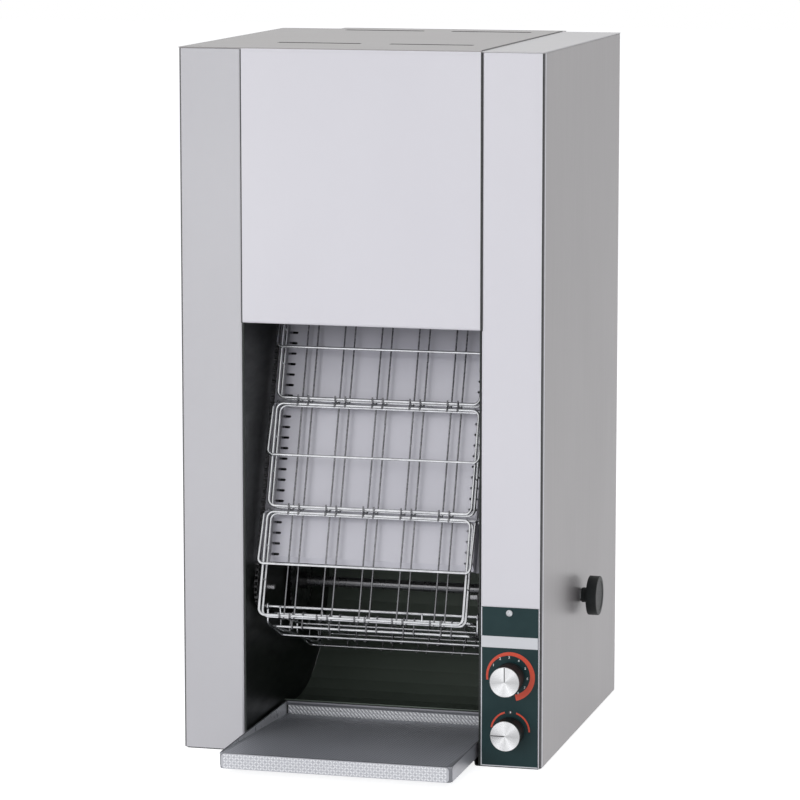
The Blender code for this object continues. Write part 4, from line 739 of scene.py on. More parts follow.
# %% One link
PLATE_HALF_HEIGHT, PLATE_THICKNESS, PLATE_PLACE = 0.0022, 0.0006, 0.0016
ROLLER_RADIUS, ROLLER_HALF, ROLLER_SIDES = 0.0017, 0.0015, 8
half_link = CHAIN_PITCH / 2
shoulder = PLATE_HALF_HEIGHT * 0.8
plate = [(0, -half_link - 0.0017), (shoulder, -half_link - 0.001), (PLATE_HALF_HEIGHT, -half_link + 0.0006),
         (PLATE_HALF_HEIGHT * 0.62, 0), (PLATE_HALF_HEIGHT, half_link - 0.0006), (shoulder, half_link + 0.001),
         (0, half_link + 0.0017)]
plate += [(-y, z) for y, z in reversed(plate[1:-1])]
angles = [2 * pi * side / ROLLER_SIDES for side in range(ROLLER_SIDES)]
roller = [(ROLLER_RADIUS * cos(angle), half_link + ROLLER_RADIUS * sin(angle)) for angle in angles]
plate_outside = PLATE_PLACE + PLATE_THICKNESS / 2
link = plates("chain_link", [(plate, -plate_outside, -PLATE_PLACE), (plate, PLATE_PLACE, plate_outside),
                             (roller, -ROLLER_HALF, ROLLER_HALF)], None)
print("one link:", len(link.data.polygons), "faces")

# %% Both chains
for word in ("left", "right"):
    low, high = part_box("chain_" + word)
    places = []
    for number in range(LINK_COUNT):
        y, z, heading = on_path(number * PATH_LENGTH / LINK_COUNT)
        places.append((((low.x + high.x) / 2, y, z), (heading - pi / 2, 0, 0)))
    chain = copies("links_" + word, link, places, chain_steel)
    dress(chain, "cabinet", "chain_steel", "chain_" + word)
    print("chain", word, len(chain.data.polygons), "faces")
bpy.data.objects.remove(link)

# %% [markdown]
# ## Load shield
# A bright sheet stands behind the front baskets and keeps the bread off the chains. Both of its long
# edges are punched like a comb, so that heat gets past. One slot-shaped cutter is set down both edges by
# Geometry Nodes and cut from the folded sheet in a single Boolean, which keeps every slot alike.

# %% Comb-edged shield
SHIELD_START, SHIELD_END, SHIELD_HALF = 0.0268, 0.3106, 0.118
SHIELD_LIP, LIP_SETBACK, SHIELD_BEND = 0.0062, 0.0035, 0.0012
SHIELD_INWARD, SHIELD_DEPTH, SHIELD_SHEET = 0.0045, 0.014, 0.001
SLOT_STEP, SLOT_LENGTH, SLOT_HEIGHT, SLOT_INSET, CUTTER_HALF = 0.0121, 0.0102, 0.0028, 0.0058, 0.003
low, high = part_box("load_shield")
left, right, behind = CHAMBER_MIDDLE - SHIELD_HALF, CHAMBER_MIDDLE + SHIELD_HALF, SHIELD_INWARD + SHIELD_DEPTH
fold = rounded_flat([(low.x, behind), (left, behind), (left, SHIELD_INWARD), (right, SHIELD_INWARD),
                     (right, behind), (high.x, behind)], SHIELD_BEND, 3)
shape = bmesh.new()
rows = []
for along, setback in ((SHIELD_START, LIP_SETBACK), (SHIELD_START + SHIELD_LIP, 0), (SHIELD_END, 0)):
    rows.append([shape.verts.new((x, *on_path(along, -max(inward, SHIELD_INWARD + setback))[:2]))
                 for x, inward in fold])
skin(shape, rows)
shield = from_shape("comb_shield", shape, shield_steel)
if shield.data.polygons[len(fold) // 2].normal.y > 0:
    shield.data.flip_normals()
applied(shield, "SOLIDIFY", thickness=SHIELD_SHEET, offset=-1)

heading = on_path(SHIELD_START)[2]
slot_corner = Vector((SLOT_LENGTH / 2, SLOT_HEIGHT / 2))
slot_form = front_plate("slot_form", [oblong(-slot_corner, slot_corner, SLOT_HEIGHT * 0.49)],
                        -CUTTER_HALF, 2 * CUTTER_HALF, None)
places = []
for number in range(int((SHIELD_END - SHIELD_START) / SLOT_STEP)):
    y, z, _ = on_path(SHIELD_START + (number + 0.7) * SLOT_STEP, -SHIELD_INWARD)
    for side in (-1, 1):
        places.append(((CHAMBER_MIDDLE + side * (SHIELD_HALF - SLOT_INSET), y, z), (heading - pi / 2, 0, 0)))
bored(shield, copies("slots", slot_form, places, shield_steel))
bpy.data.objects.remove(slot_form)
dress(shield, "cabinet", "shield_steel", "load_shield")
print("shield:", len(places), "slots,", len(shield.data.polygons), "faces")

# %% [markdown]
# ## Toast tray
# The tray is pressed from embossed sheet: rows of small bumps that lean both ways by turns, so crumbs don't
# stick and the bright apron glitters. Its body has plain folded sides. A bump of six faces is set on a grid by
# Geometry Nodes, leaning left and right like a chessboard, on the floor, the apron and the back wall. The bumps
# are drawn in lighter finishes than the sheet under them, as painted highlights.

# %% Tray body
TRAY_SHEET, FLOOR_RISE, APRON_THICK, BUMP_RISE = 0.0012, 0.0012, 0.001, 0.0004
FRONT_BEND, BACK_BEND, LEAST_BEND = 0.006, 0.002, 0.0005
tray_low, tray_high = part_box("toast_tray")
body_front = tray_low.y + BUMP_RISE + APRON_THICK


def plan_of_tray(inset):
    """The tray's outline from above, with its front corners rounder than its back ones."""
    corners = rectangle((tray_low.x + inset, body_front + inset), (tray_high.x - inset, tray_high.y - inset))
    line = []
    for index, radius in enumerate((FRONT_BEND, FRONT_BEND, BACK_BEND, BACK_BEND)):
        turn = [corners[index - 1], corners[index], corners[(index + 1) % 4]]
        line += rounded_flat(turn, max(radius - inset, LEAST_BEND), 5)[1:-1]
    return line


outer, inner = plan_of_tray(0), plan_of_tray(TRAY_SHEET)
levels = ((outer, tray_low.z), (outer, tray_high.z), (inner, tray_high.z), (inner, tray_low.z))
shape = bmesh.new()
rings = [[shape.verts.new((x, y, z)) for x, y in outline] for outline, z in levels]
skin(shape, rings + rings[:1], closed=True)
tray_body = softened(from_shape("tray_body", shape, tray_side), 0.00035)
dress(tray_body, "tray", "tray_steel", "toast_tray")
print("tray body:", len(tray_body.data.polygons), "faces")

# %% Tray floor, apron and back
APRON_SIDE, LIP, PANEL_SIDE, PANEL_THICK = 0.0026, 0.0046, 0.003, 0.0007
RIM_SIDE, RIM_HEIGHT, RIM_THICK, CORNER_SHADE_WIDTH, CORNER_SHADE_THICK = 0.0022, 0.0018, 0.0009, 0.0018, 0.0003
floor_front, floor_back = body_front + TRAY_SHEET / 2, tray_high.y - TRAY_SHEET / 2
front_height, back_height = tray_high.z, tray_low.z + FLOOR_RISE + TRAY_SHEET
floor_slope = atan2(back_height - front_height, floor_back - floor_front)
floor_outline = [(floor_front, front_height - TRAY_SHEET), (floor_back, back_height - TRAY_SHEET),
                 (floor_back, back_height), (floor_front, front_height)]
floor_part = (floor_outline, tray_low.x + TRAY_SHEET / 2, tray_high.x - TRAY_SHEET / 2)
dress(plates("tray_floor_plate", [floor_part], tray_floor), "tray", "tray_steel")

apron_low = (tray_low.x + APRON_SIDE, tray_low.z + 0.0004)
apron_high = (tray_high.x - APRON_SIDE, tray_high.z - 0.0003)
apron = front_plate("tray_apron", [oblong(apron_low, apron_high, 0.0042, 5)], tray_low.y + BUMP_RISE,
                    APRON_THICK, tray_face)
dress(softened(apron, 0.0003), "tray", "tray_steel")
back_face, panel_foot, panel_top = tray_high.y - TRAY_SHEET, back_height + 0.0004, tray_high.z - LIP
rim_top = tray_high.z - 0.0001
# Black strips in the back wall's two corners are painted shade.
corner_shade_outlines = [oblong((x, panel_foot), (x + CORNER_SHADE_WIDTH, panel_top), 0.0004, 2)
                for x in (tray_low.x + TRAY_SHEET, tray_high.x - TRAY_SHEET - CORNER_SHADE_WIDTH)]
BACK_PLATES = [
    ("tray_back_panel", [oblong((tray_low.x + PANEL_SIDE, panel_foot), (tray_high.x - PANEL_SIDE, panel_top),
                                0.0012, 3)], PANEL_THICK, tray_face, "tray_steel"),
    ("tray_rim", [oblong((tray_low.x + RIM_SIDE, rim_top - RIM_HEIGHT), (tray_high.x - RIM_SIDE, rim_top),
                         0.0008, 2)], RIM_THICK, tray_wall, "tray_steel"),
    ("tray_corner_gaps", corner_shade_outlines, CORNER_SHADE_THICK, moulded_black, "moulded_black"),
]
for name, outlines, thickness, material, slot in BACK_PLATES:
    dress(front_plate(name, outlines, back_face - thickness, thickness, material), "tray", slot)

# %% Plates on the tray's sides
SIDE_THICK, INNER_THICK, SIDE_BACK = 0.0004, 0.0002, 0.003
side_outline = oblong((body_front + 0.0046, tray_low.z + 0.0004),
                      (tray_high.y - SIDE_BACK, tray_high.z - 0.0004), 0.004, 5)
inner_outline = oblong((body_front + 0.008, tray_low.z + 0.003),
                       (tray_high.y - SIDE_BACK, tray_high.z - 0.0008), 0.001, 2)
# The inner plates are lightened as painted light on walls that lie in shade.
SIDE_PLATES = [
    ("tray_side_plates", side_outline, (tray_low.x - 0.0003, tray_high.x - 0.0001), SIDE_THICK, tray_wall),
    ("tray_inner_plates", inner_outline, (tray_low.x + TRAY_SHEET, tray_high.x - TRAY_SHEET - INNER_THICK),
     INNER_THICK, tray_painted_light),
]
for name, outline, starts, thickness, material in SIDE_PLATES:
    parts = [(outline, start, start + thickness) for start in starts]
    dress(plates(name, parts, material), "tray", "tray_steel")

# %% Embossed bumps
# Each form's name, length, width and rise.
BUMP_FORMS = [("small_bump", 0.0035, 0.0017, BUMP_RISE), ("apron_bump", 0.0038, 0.0017, 0.0007),
              ("long_bump", 0.008, 0.0019, 0.0007)]


def bump_form(name, long, wide, rise):
    """A low ridge with pointed ends, six faces, lying on the XY plane."""
    shape = bmesh.new()
    rim = [shape.verts.new((x * long / 2, y * wide / 2, 0))
           for x, y in ((-1, 0), (-0.45, -1), (0.45, -1), (1, 0), (0.45, 1), (-0.45, 1))]
    ridge = [shape.verts.new((side * long * 0.2, 0, rise)) for side in (-1, 1)]
    points = rim + ridge
    for corners in ((0, 1, 6), (1, 2, 7, 6), (2, 3, 7), (3, 4, 7), (4, 5, 6, 7), (5, 0, 6), range(6)):
        shape.faces.new([points[corner] for corner in corners])
    return from_shape(name, shape, None, smooth_below=80)


def bump_grid(across, along, step):
    """Steps on a grid that fills a rectangle, each with the way that its bump leans."""
    columns, rows = int(across / step), int(along / step)
    for column in range(columns):
        for row in range(rows):
            lean = 45 if (column + row) % 2 else -45
            yield (column - (columns - 1) / 2) * step, (row - (rows - 1) / 2) * step, radians(lean)


def leaning(stand, angle):
    """A bump's turn on a surface that stands in one way."""
    return tuple((stand @ Matrix.Rotation(angle, 3, "Z")).to_euler())


small_bump, apron_bump, long_bump = (bump_form(*sizes) for sizes in BUMP_FORMS)

# %% Bumps on the floor, the apron and the back wall
FLOOR_STEP, APRON_STEP, PANEL_STEP, PANEL_BUMPS_HEIGHT = 0.0033, 0.0032, 0.0044, 0.01
PANEL_LEAN, FOOT_LEAN, FOOT_DROP = radians(-48), radians(-8), 0.0052
middle_x, middle_y = (tray_low.x + tray_high.x) / 2, (floor_front + floor_back) / 2
tray_width, tray_reach = tray_high.x - tray_low.x, floor_back - floor_front
panel_middle = (back_height + panel_top) / 2
tilt, upright = Matrix.Rotation(floor_slope, 3, "X"), Matrix.Rotation(pi / 2, 3, "X")
floor_places = []
for across, along, lean in bump_grid(tray_width - 0.009, tray_reach - 0.008, FLOOR_STEP):
    y = middle_y + along
    z = front_height + (back_height - front_height) * (y - floor_front) / tray_reach
    floor_places.append(((middle_x + across, y, z), leaning(tilt, lean)))
apron_places = [((middle_x + across, tray_low.y + BUMP_RISE, (apron_low[1] + apron_high[1]) / 2 + along),
                 leaning(upright, lean))
                for across, along, lean in bump_grid(apron_high[0] - apron_low[0] - 0.004,
                                                     apron_high[1] - apron_low[1], APRON_STEP)]
panel_turn, foot_turn = leaning(upright, PANEL_LEAN), leaning(upright, FOOT_LEAN)
panel_places = [((middle_x + across, back_face - PANEL_THICK, panel_middle + along), panel_turn)
                for across, along, _ in bump_grid(tray_width - 0.006, PANEL_BUMPS_HEIGHT, PANEL_STEP)]
# The lowest row of bumps is drawn in white, as painted glints.
foot_places = [((place[0] + 0.003, place[1] - 0.0002, panel_middle - FOOT_DROP), foot_turn)
               for place, _ in panel_places[::2]]
# Each row of bumps takes a lighter finish than the sheet under it: painted highlights.
for name, form, places, material in (("tray_floor_bumps", small_bump, floor_places, tray_bump_painted_highlight),
                                     ("tray_apron_bumps", apron_bump, apron_places, tray_painted_light),
                                     ("tray_back_bumps", long_bump, panel_places, tray_painted_light),
                                     ("tray_foot_bumps", small_bump, foot_places, print_white_and_painted_glint)):
    bumps = dress(copies(name, form, places, material), "tray", "tray_steel")
    print(name, len(places), "bumps,", len(bumps.data.polygons), "faces")
for form in (small_bump, apron_bump, long_bump):
    bpy.data.objects.remove(form)

# %% [markdown]
# ## Control knobs
# Each knob is a smooth black moulding with a thick aluminium disc let into its face. Both are turned forms, so
# each is a profile swept round the dial's axis. The disc carries a milled line as its pointer, and UV
# coordinates for the fan of bright wedges that a lathe leaves, painted into its colour as painted highlights.

# %% Knob skirts and faces
DIAL_X = box_middle("speed_knob_cap").x
OVERLAY_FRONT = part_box("control_panel")[0].y
FACE_RADIUS, RIM_RADIUS, BASE_RADIUS, NECK_RADIUS = 0.0166, 0.0167, 0.0162, 0.0158
FACE_THICK, FACE_EDGE, SKIRT_CLEAR, SKIRT_STEM = 0.001, 0.0005, 0.0012, 0.004
GROOVE_WIDTH, GROOVE_LENGTH, GROOVE_DEPTH, GROOVE_BEND = 0.0011, 0.0165, 0.0005, 0.0004
POINTER_RISE, POINTER_THICK, CUTTER_OVER = 0.00015, 0.0002, 0.002


def face_uv(mesh, centre):
    """U once round the knob and V from its middle to its rim, on a face that looks along -Y."""
    layer = mesh.uv_layers.new(name="turned")
    for polygon in mesh.polygons:
        middle = polygon.center - centre
        base = atan2(middle.z, middle.x) / (2 * pi)
        for corner in polygon.loop_indices:
            spoke = mesh.vertices[mesh.loops[corner].vertex_index].co - centre
            reach = hypot(spoke.x, spoke.z)
            share = atan2(spoke.z, spoke.x) / (2 * pi) if reach > 1e-5 else base
            share += round(base - share)
            layer.data[corner].uv = (share + (base < 0), reach / FACE_RADIUS)


def groove_plate(name, stand, top, front, thickness, material):
    """A narrow plate that follows a knob's milled line up to a height."""
    outline = oblong((-GROOVE_WIDTH / 2, FACE_RADIUS - GROOVE_LENGTH), (GROOVE_WIDTH / 2, top), GROOVE_BEND, 2)
    made = front_plate(name, [outline], front, thickness, material)
    made.data.transform(stand)
    return made


for word, turn in (("speed", 0.0), ("heat", -pi / 2)):
    low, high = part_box(word + "_knob_cap")
    centre = Vector((DIAL_X, low.y, (low.z + high.z) / 2))
    skirt_back, face_back = OVERLAY_FRONT - SKIRT_CLEAR, low.y + FACE_THICK
    depth = skirt_back - face_back - 0.0001
    skirt_place, face_place = (Vector((DIAL_X, y, centre.z)) for y in (skirt_back, face_back))
    profile = rounded_flat([(0, depth), (RIM_RADIUS, depth), (NECK_RADIUS, 0.004), (BASE_RADIUS, 0.003),
                            (BASE_RADIUS, 0), (0.004, 0)], 0.0008, 3)
    skirt = turned(word + "_skirt", profile + [(0.003, -SKIRT_STEM), (0, -SKIRT_STEM)], 72, skirt_place,
                   (0, -1, 0), knob_black)
    dress(skirt, word + "_dial", "knob_black", word + "_knob_skirt")
    profile = [(0, 0), (FACE_RADIUS - 0.0002, 0), (FACE_RADIUS, 0.0002), (FACE_RADIUS, FACE_THICK - FACE_EDGE),
               (FACE_RADIUS - FACE_EDGE, FACE_THICK), (FACE_RADIUS * 0.55, FACE_THICK), (0, FACE_THICK)]
    face = turned(word + "_face", profile, 96, face_place, (0, -1, 0), spun_aluminium)
    stand = stood(centre, turn, "Y")
    bored(face, groove_plate("groove", stand, FACE_RADIUS + CUTTER_OVER, -CUTTER_OVER,
                             CUTTER_OVER + GROOVE_DEPTH, None))
    face_uv(face.data, centre)
    dress(face, word + "_dial", "knob_aluminium", word + "_knob_cap")
    line = groove_plate(word + "_pointer", stand, FACE_RADIUS - 0.0004, GROOVE_DEPTH - POINTER_RISE,
                        POINTER_THICK, moulded_black)
    dress(line, word + "_dial", "moulded_black")
    print(word, "knob:", len(skirt.data.polygons) + len(face.data.polygons), "faces")

# %% Hand knob
STEM_RADIUS, COLLAR_RADIUS, NECK_END, WELL_DEPTH = 0.0063, 0.0085, 0.0112, 0.0007
low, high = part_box("hand_knob")
reach, knob_rim = high.x - low.x, (high.z - low.z) / 2
profile = [(STEM_RADIUS, 0), (COLLAR_RADIUS, 0), (COLLAR_RADIUS, reach * 0.26), (NECK_END, reach - 0.0122),
           (knob_rim, reach - 0.012), (knob_rim, reach), (knob_rim * 0.8, reach),
           (knob_rim * 0.74, reach - WELL_DEPTH), (0, reach - WELL_DEPTH)]
hand_knob = turned("turned_hand_knob", rounded_flat(profile, 0.0006, 3), 72,
                   Vector((low.x, (low.y + high.y) / 2, (low.z + high.z) / 2)), (1, 0, 0), knob_black)
dress(hand_knob, "drive", "knob_black", "hand_knob")
print("hand knob:", len(hand_knob.data.polygons), "faces")

# %% [markdown]
# ## Dials and overlay
# The dark overlay is printed. The speed dial has one red ring that grows from thin to thick, with the
# numbers 1 to 8 inside it, and the heat dial has two thin red arcs and a dot. Print has almost no
# thickness, so each mark is a thin plate just proud of the overlay. The numbers are Blender's own type,
# made a mesh.

# %% Rings, arcs and dot
PRINT_THICK = 0.00012
print_front = OVERLAY_FRONT - PRINT_THICK
SPEED_RING, SPEED_WIDTHS = 0.0276, [0.0022, 0.0031, 0.0041, 0.005, 0.0059, 0.0070]
HEAT_RING, HEAT_WIDTHS = 0.0224, [0.0019, 0.0019]
DOT_RADIUS, DOT_UP, DOT_SIDES = 0.0024, 0.021, 24


def around(centre, radius, degrees_up):
    angle = radians(degrees_up)
    return (centre[0] + radius * cos(angle), centre[1] + radius * sin(angle))


def arc_band(centre, start, end, outer_radius, widths, steps):
    """A band along a circle, whose width follows a list of widths from start to end."""
    rim, inside = [], []
    for step in range(steps + 1):
        share = step / steps
        place = share * (len(widths) - 1)
        index = min(int(place), len(widths) - 2)
        width = widths[index] + (widths[index + 1] - widths[index]) * (place - index)
        rim.append(around(centre, outer_radius, start + (end - start) * share))
        inside.append(around(centre, outer_radius - width, start + (end - start) * share))
    return rim + inside[::-1]


def printed(name, outlines, material, layer=0):
    """Thin plates on the overlay's front, or in front of an earlier layer of print."""
    made = front_plate(name, outlines, print_front - layer * PRINT_THICK, PRINT_THICK, material)
    return dress(made, "cabinet", "control_teal")


SPEED_DIAL, HEAT_DIAL = ((DIAL_X, box_middle(word + "_knob_cap").z) for word in ("speed", "heat"))
rings = printed("dial_rings", [arc_band(SPEED_DIAL, 190, -76, SPEED_RING, SPEED_WIDTHS, 48),
                               arc_band(HEAT_DIAL, 172, 107, HEAT_RING, HEAT_WIDTHS, 16),
                               arc_band(HEAT_DIAL, 72, 0, HEAT_RING, HEAT_WIDTHS, 16)], print_red)
dot_middle = (HEAT_DIAL[0], HEAT_DIAL[1] + DOT_UP)
dot = [around(dot_middle, DOT_RADIUS, 360 * side / DOT_SIDES) for side in range(DOT_SIDES)]
printed("dial_spot", [dot], moulded_black)

# %% Numbers, marks and label strip
STRIP_LOW, STRIP_HIGH, STRIP_BEND, BORDER, PRINT_GAP = 0.1357, 0.1485, 0.0003, 0.0012, 0.0002
NUMBER_HEIGHT, NUMBER_WEIGHT = 0.0038, 0.0001
NUMBER_PLACES = [(148, 0.0226), (121, 0.0228), (94, 0.0216), (63, 0.0205), (31, 0.0195), (-4, 0.0192),
                 (-36, 0.0198), (-64, 0.02)]
overlay_low, overlay_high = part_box("control_panel")
border_side = overlay_low.x + BORDER
printed("label_strip", [oblong((overlay_low.x + PRINT_GAP, STRIP_LOW), (overlay_high.x - PRINT_GAP, STRIP_HIGH),
                               STRIP_BEND, 2)], print_silver)
borders = [((overlay_low.x, overlay_low.z), (border_side, STRIP_LOW - PRINT_GAP)),
           ((overlay_low.x, STRIP_HIGH + PRINT_GAP), (border_side, overlay_high.z - PRINT_GAP)),
           ((border_side + 0.0001, overlay_low.z), (overlay_high.x, overlay_low.z + BORDER))]
printed("overlay_border", [rectangle(*ends) for ends in borders], print_silver)
shape = bmesh.new()
for number, (angle, reach) in enumerate(NUMBER_PLACES, 1):
    text = bpy.data.curves.new("dial_number", "FONT")
    text.body, text.size, text.extrude, text.offset = str(number), NUMBER_HEIGHT, PRINT_THICK / 2, NUMBER_WEIGHT
    text.align_x, text.align_y = "CENTER", "CENTER"
    holder = add_object("dial_number", text)
    flat = bpy.data.meshes.new_from_object(holder.evaluated_get(bpy.context.evaluated_depsgraph_get()))
    bpy.data.objects.remove(holder)
    x, z = around(SPEED_DIAL, reach, angle)
    flat.transform(stood((x, print_front + PRINT_THICK / 2, z), pi / 2, "X"))
    shape.from_mesh(flat)
bmesh.ops.remove_doubles(shape, verts=shape.verts, dist=0.000002)
numbers = dress(from_shape("dial_numbers", shape, print_white_and_painted_glint), "cabinet", "control_teal")
printed("heat_mark", [oblong((HEAT_DIAL[0] - 0.0005, HEAT_DIAL[1] + 0.0202),
                             (HEAT_DIAL[0] + 0.001, HEAT_DIAL[1] + 0.0222), 0.0003, 2)], print_white_and_painted_glint, 1)
print("print:", len(rings.data.polygons) + len(numbers.data.polygons), "faces")

# %% [markdown]
# ## Screws and louvres
# A pan-head screw is a low dome with a cross cut into it. One form serves the overlay's screw and those
# that hold the rear cover. The rear cover breathes through pressed louvres: each is a shallow scoop that
# opens downwards, drawn once and set over every slot by Geometry Nodes.

# %% One screw
SCREW_RADIUS, SCREW_RISE, SCREW_FLAT = 0.0037, 0.0022, 0.0016
SHANK_RADIUS, SHANK_LENGTH, SHANK_TAPER = 0.0018, 0.008, 0.0006
DOME_STEPS, CROSS_TURN = 5, 0.5


def screw_form(name, radius, rise):
    """A domed head on the XY plane with a cross-shaped recess."""
    angles = [pi / 2 * step / DOME_STEPS for step in range(DOME_STEPS)]
    dome = [(radius * cos(angle), rise * (0.28 + 0.72 * sin(angle))) for angle in angles]
    head = turned(name, [(0, 0), (radius, 0)] + dome + [(0, rise)], 24, (0, 0, 0), (0, 0, 1), turned_steel, 50)
    arm = Vector((radius * 0.62, radius * 0.15))
    for turn in (CROSS_TURN, CROSS_TURN + pi / 2):
        cutter = plates("slot", [(rectangle(-arm, arm), rise * 0.45, rise * 2)], turned_steel, 2)
        cutter.data.transform(Matrix.Rotation(turn, 4, "Z"))
        bored(head, cutter)
    return head


low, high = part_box("control_panel_screw")
place = Vector(((low.x + high.x) / 2, low.y + SCREW_RISE, (low.z + high.z) / 2))
head = screw_form("overlay_screw", SCREW_RADIUS, SCREW_FLAT)
head.data.transform(stood(place, pi / 2, "X"))
head.data.materials.clear()
head.data.materials.append(bright_screw)
profile = [(0, 0), (SHANK_RADIUS, 0), (SHANK_RADIUS, SHANK_LENGTH - SHANK_TAPER),
           (SHANK_RADIUS - SHANK_TAPER, SHANK_LENGTH), (0, SHANK_LENGTH)]
shank = turned("overlay_shank", profile, 16, place, (0, 1, 0), turned_steel)
dress(head, "cabinet", "shaft_steel", "control_panel_screw")
dress(shank, "cabinet", "shaft_steel")

# %% Seams of the housing
# Three joints run up the front, and the top cover stands a little proud of the right lid. Dark strips on the
# three joints and on the cover's step down to the lid are painted shade.
SEAM_PROUD, SEAM_THICK, HEM_THICK, SEAM_END = 0.0001, 0.0002, 0.0003, 0.0005
low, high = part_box("right_front_panel")
hood_low, hood_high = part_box("hood_front")
lid_low, lid_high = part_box("right_top_cover")
column_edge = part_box("left_panel")[1].x
seams = [(high.x - 0.0024, high.x - 0.001, low.z + SEAM_END),
         (column_edge - 0.0008, hood_low.x + 0.0001, hood_low.z),
         (hood_high.x - 0.0009, low.x + 0.0012, hood_low.z)]
outlines = [rectangle((left, foot), (right, high.z - SEAM_END)) for left, right, foot in seams]
hem = rectangle((column_edge + 0.0004, hood_high.z - 0.0022), (hood_high.x - 0.0008, cover_low.z + 0.0004))
lid_edge = rectangle((lid_low.y + 0.001, lid_high.z - 0.0005), (lid_high.y - 0.001, lid_high.z + 0.0012))
dress(front_plate("front_seams", outlines, low.y - SEAM_PROUD, SEAM_THICK, moulded_black),
      "cabinet", "moulded_black")
dress(front_plate("hood_hem", [hem], low.y - SEAM_PROUD, HEM_THICK, outer_steel), "cabinet", "panel_steel")
dress(plates("lid_seam", [(lid_edge, lid_low.x - 0.0009, lid_low.x + 0.0001)], edge_steel),
      "cabinet", "panel_steel")

# %% Rims of the vent slots
# The punch leaves a rolled rim round each slot. Black strips along the front and back of each group of slots
# are painted shade, a thin dark line from the front.
RIM_WIDTH, RIM_RISE = 0.0011, 0.0002


def reach_of(points, axis):
    values = [point[axis] for point in points]
    return min(values), max(values)


slot_corners = [cover_mesh.vertices[index].co for polygon in slot_faces for index in polygon.vertices]
middle_x, middle_y = (sum(reach_of(slot_corners, axis)) / 2 for axis in (0, 1))
parts = []
for at_left in (True, False):
    for at_front in (True, False):
        corners = [corner for corner in slot_corners
                   if (corner.x < middle_x) == at_left and (corner.y < middle_y) == at_front]
        low_x, high_x = reach_of(corners, 0)
        low_y, high_y = reach_of(corners, 1)
        for start, end in ((low_y - RIM_WIDTH, low_y), (high_y, high_y + RIM_WIDTH)):
            outline = rectangle((start, cover_high.z - RIM_RISE), (end, cover_high.z + RIM_RISE))
            parts.append((outline, low_x, high_x))
        print("vent slot:", round(high_x - low_x, 4), "by", round(high_y - low_y, 4))
dress(plates("vent_rims", parts, moulded_black), "cabinet", "panel_steel")

# %% Screws of the rear cover
BACK_SCREW, BACK_SCREW_RISE, BACK_SCREW_INSET = 0.0036, 0.0019, 0.01
BACK_SCREW_HEIGHTS = (0.055, 0.235, 0.415, 0.595, 0.768)
low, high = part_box("rear_cover")
back_screw = screw_form("back_screw", BACK_SCREW, BACK_SCREW_RISE)
places = [((x, high.y, z), (-pi / 2, 0, 0)) for x in (low.x + BACK_SCREW_INSET, high.x - BACK_SCREW_INSET)
          for z in BACK_SCREW_HEIGHTS]
dress(copies("rear_cover_screws", back_screw, places, turned_steel), "cabinet", "shaft_steel")
bpy.data.objects.remove(back_screw)
print("rear screws:", len(places))

# %% Louvres
LOUVRE_HALF, LOUVRE_RISE, LOUVRE_HEIGHT, LOUVRE_STEP = 0.0465, 0.0048, 0.0095, 0.024
LOUVRE_END, LOUVRE_SHEET, LOUVRE_PLACE, LOUVRE_TOP, LOUVRE_ROWS = 0.008, 0.0007, 0.0558, 0.05, 7
ACROSS_STEPS, ROUND_STEPS = 24, 6
shape = bmesh.new()
strips = []
for column in range(ACROSS_STEPS + 1):
    x = -LOUVRE_HALF + 2 * LOUVRE_HALF * column / ACROSS_STEPS
    fade = sqrt(max(0.0, 1 - max(0.0, (abs(x) - LOUVRE_HALF + LOUVRE_END) / LOUVRE_END) ** 2))
    angles = [pi / 2 * row / ROUND_STEPS for row in range(ROUND_STEPS + 1)]
    strips.append([shape.verts.new((x, LOUVRE_RISE * fade * sin(angle), LOUVRE_HEIGHT * (cos(angle) - 0.5)))
                   for angle in angles])
skin(shape, strips)
louvre = from_shape("louvre", shape, side_steel_painted_shade, smooth_below=60)
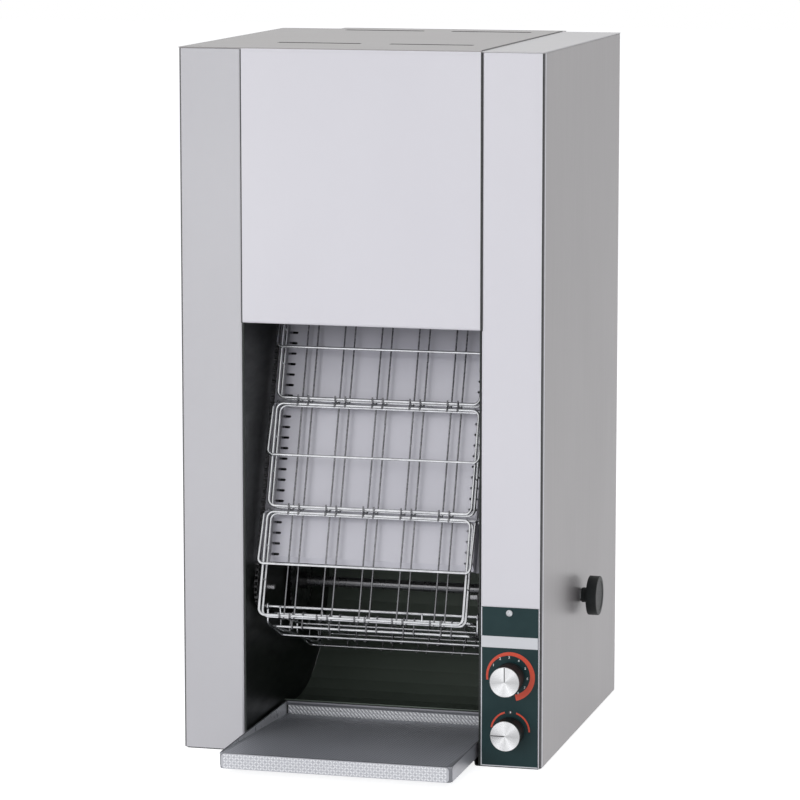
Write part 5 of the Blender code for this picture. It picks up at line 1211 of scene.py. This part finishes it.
places = [((CHAMBER_MIDDLE + side * LOUVRE_PLACE, high.y - 0.0002, high.z - LOUVRE_TOP - row * LOUVRE_STEP),
           (0, 0, 0)) for row in range(LOUVRE_ROWS) for side in (-1, 1)]
louvres = copies("rear_louvres", louvre, places, side_steel_painted_shade)
bpy.data.objects.remove(louvre)
applied(louvres, "SOLIDIFY", thickness=LOUVRE_SHEET, offset=0)
dress(louvres, "cabinet", "panel_steel")
print("louvres:", len(places), "with", len(louvres.data.polygons), "faces")

# %% [markdown]
# ## Heating elements
# A sheathed element is one rod bent to and fro, with round bends and a threaded terminal at each end. Its
# path is a rule: level passes at even steps, joined by half turns. So the wire tree from the baskets
# draws it again, rounder than the solid, from that solid's own box.

# %% Four elements
ELEMENT_RADIUS, ELEMENT_BEND, ELEMENT_SIDES = 0.004, 0.008, 14
PASSES = {"inner_front": 6, "inner_rear": 8, "outer_front": 4, "outer_rear": 6}
BUSH = [(0.0041, -0.011), (0.0056, -0.011), (0.0056, -0.0065), (0.005, -0.006), (0.005, -0.003),
        (0.0041, -0.003)]
ends = []
for word, count in PASSES.items():
    node = word + "_element"
    low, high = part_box(node)
    flat = high.y - low.y < 3 * ELEMENT_RADIUS
    first = Vector((0, (low.y + high.y) / 2 if flat else low.y + ELEMENT_RADIUS, low.z + ELEMENT_RADIUS))
    last = Vector((0, (low.y + high.y) / 2 if flat else high.y - ELEMENT_RADIUS, high.z - ELEMENT_RADIUS))
    left = low.x + ELEMENT_RADIUS
    right = 2 * CHAMBER_MIDDLE - left
    line = []
    for number in range(count):
        place = first.lerp(last, number / (count - 1))
        line += [(x, place.y, place.z) for x in ((left, right) if number % 2 else (right, left))]
    for index in (0, -1):
        line[index] = (high.x, *line[index][1:])
        ends.append(line[index])
    path = rounded_line(line, ELEMENT_BEND, 5)
    rod = wire_object("bent_" + node, [(path, ELEMENT_RADIUS, False)], ELEMENT_SIDES, element_sheath)
    dress(rod, "cabinet", "element_sheath", node)
    print(node, len(rod.data.polygons), "faces")
for number, place in enumerate(ends, 1):
    bush = turned(f"element_bush_{number}", BUSH + BUSH[:1], 20, place, (1, 0, 0), bearing_bronze)
    dress(bush, "cabinet", "bronze")
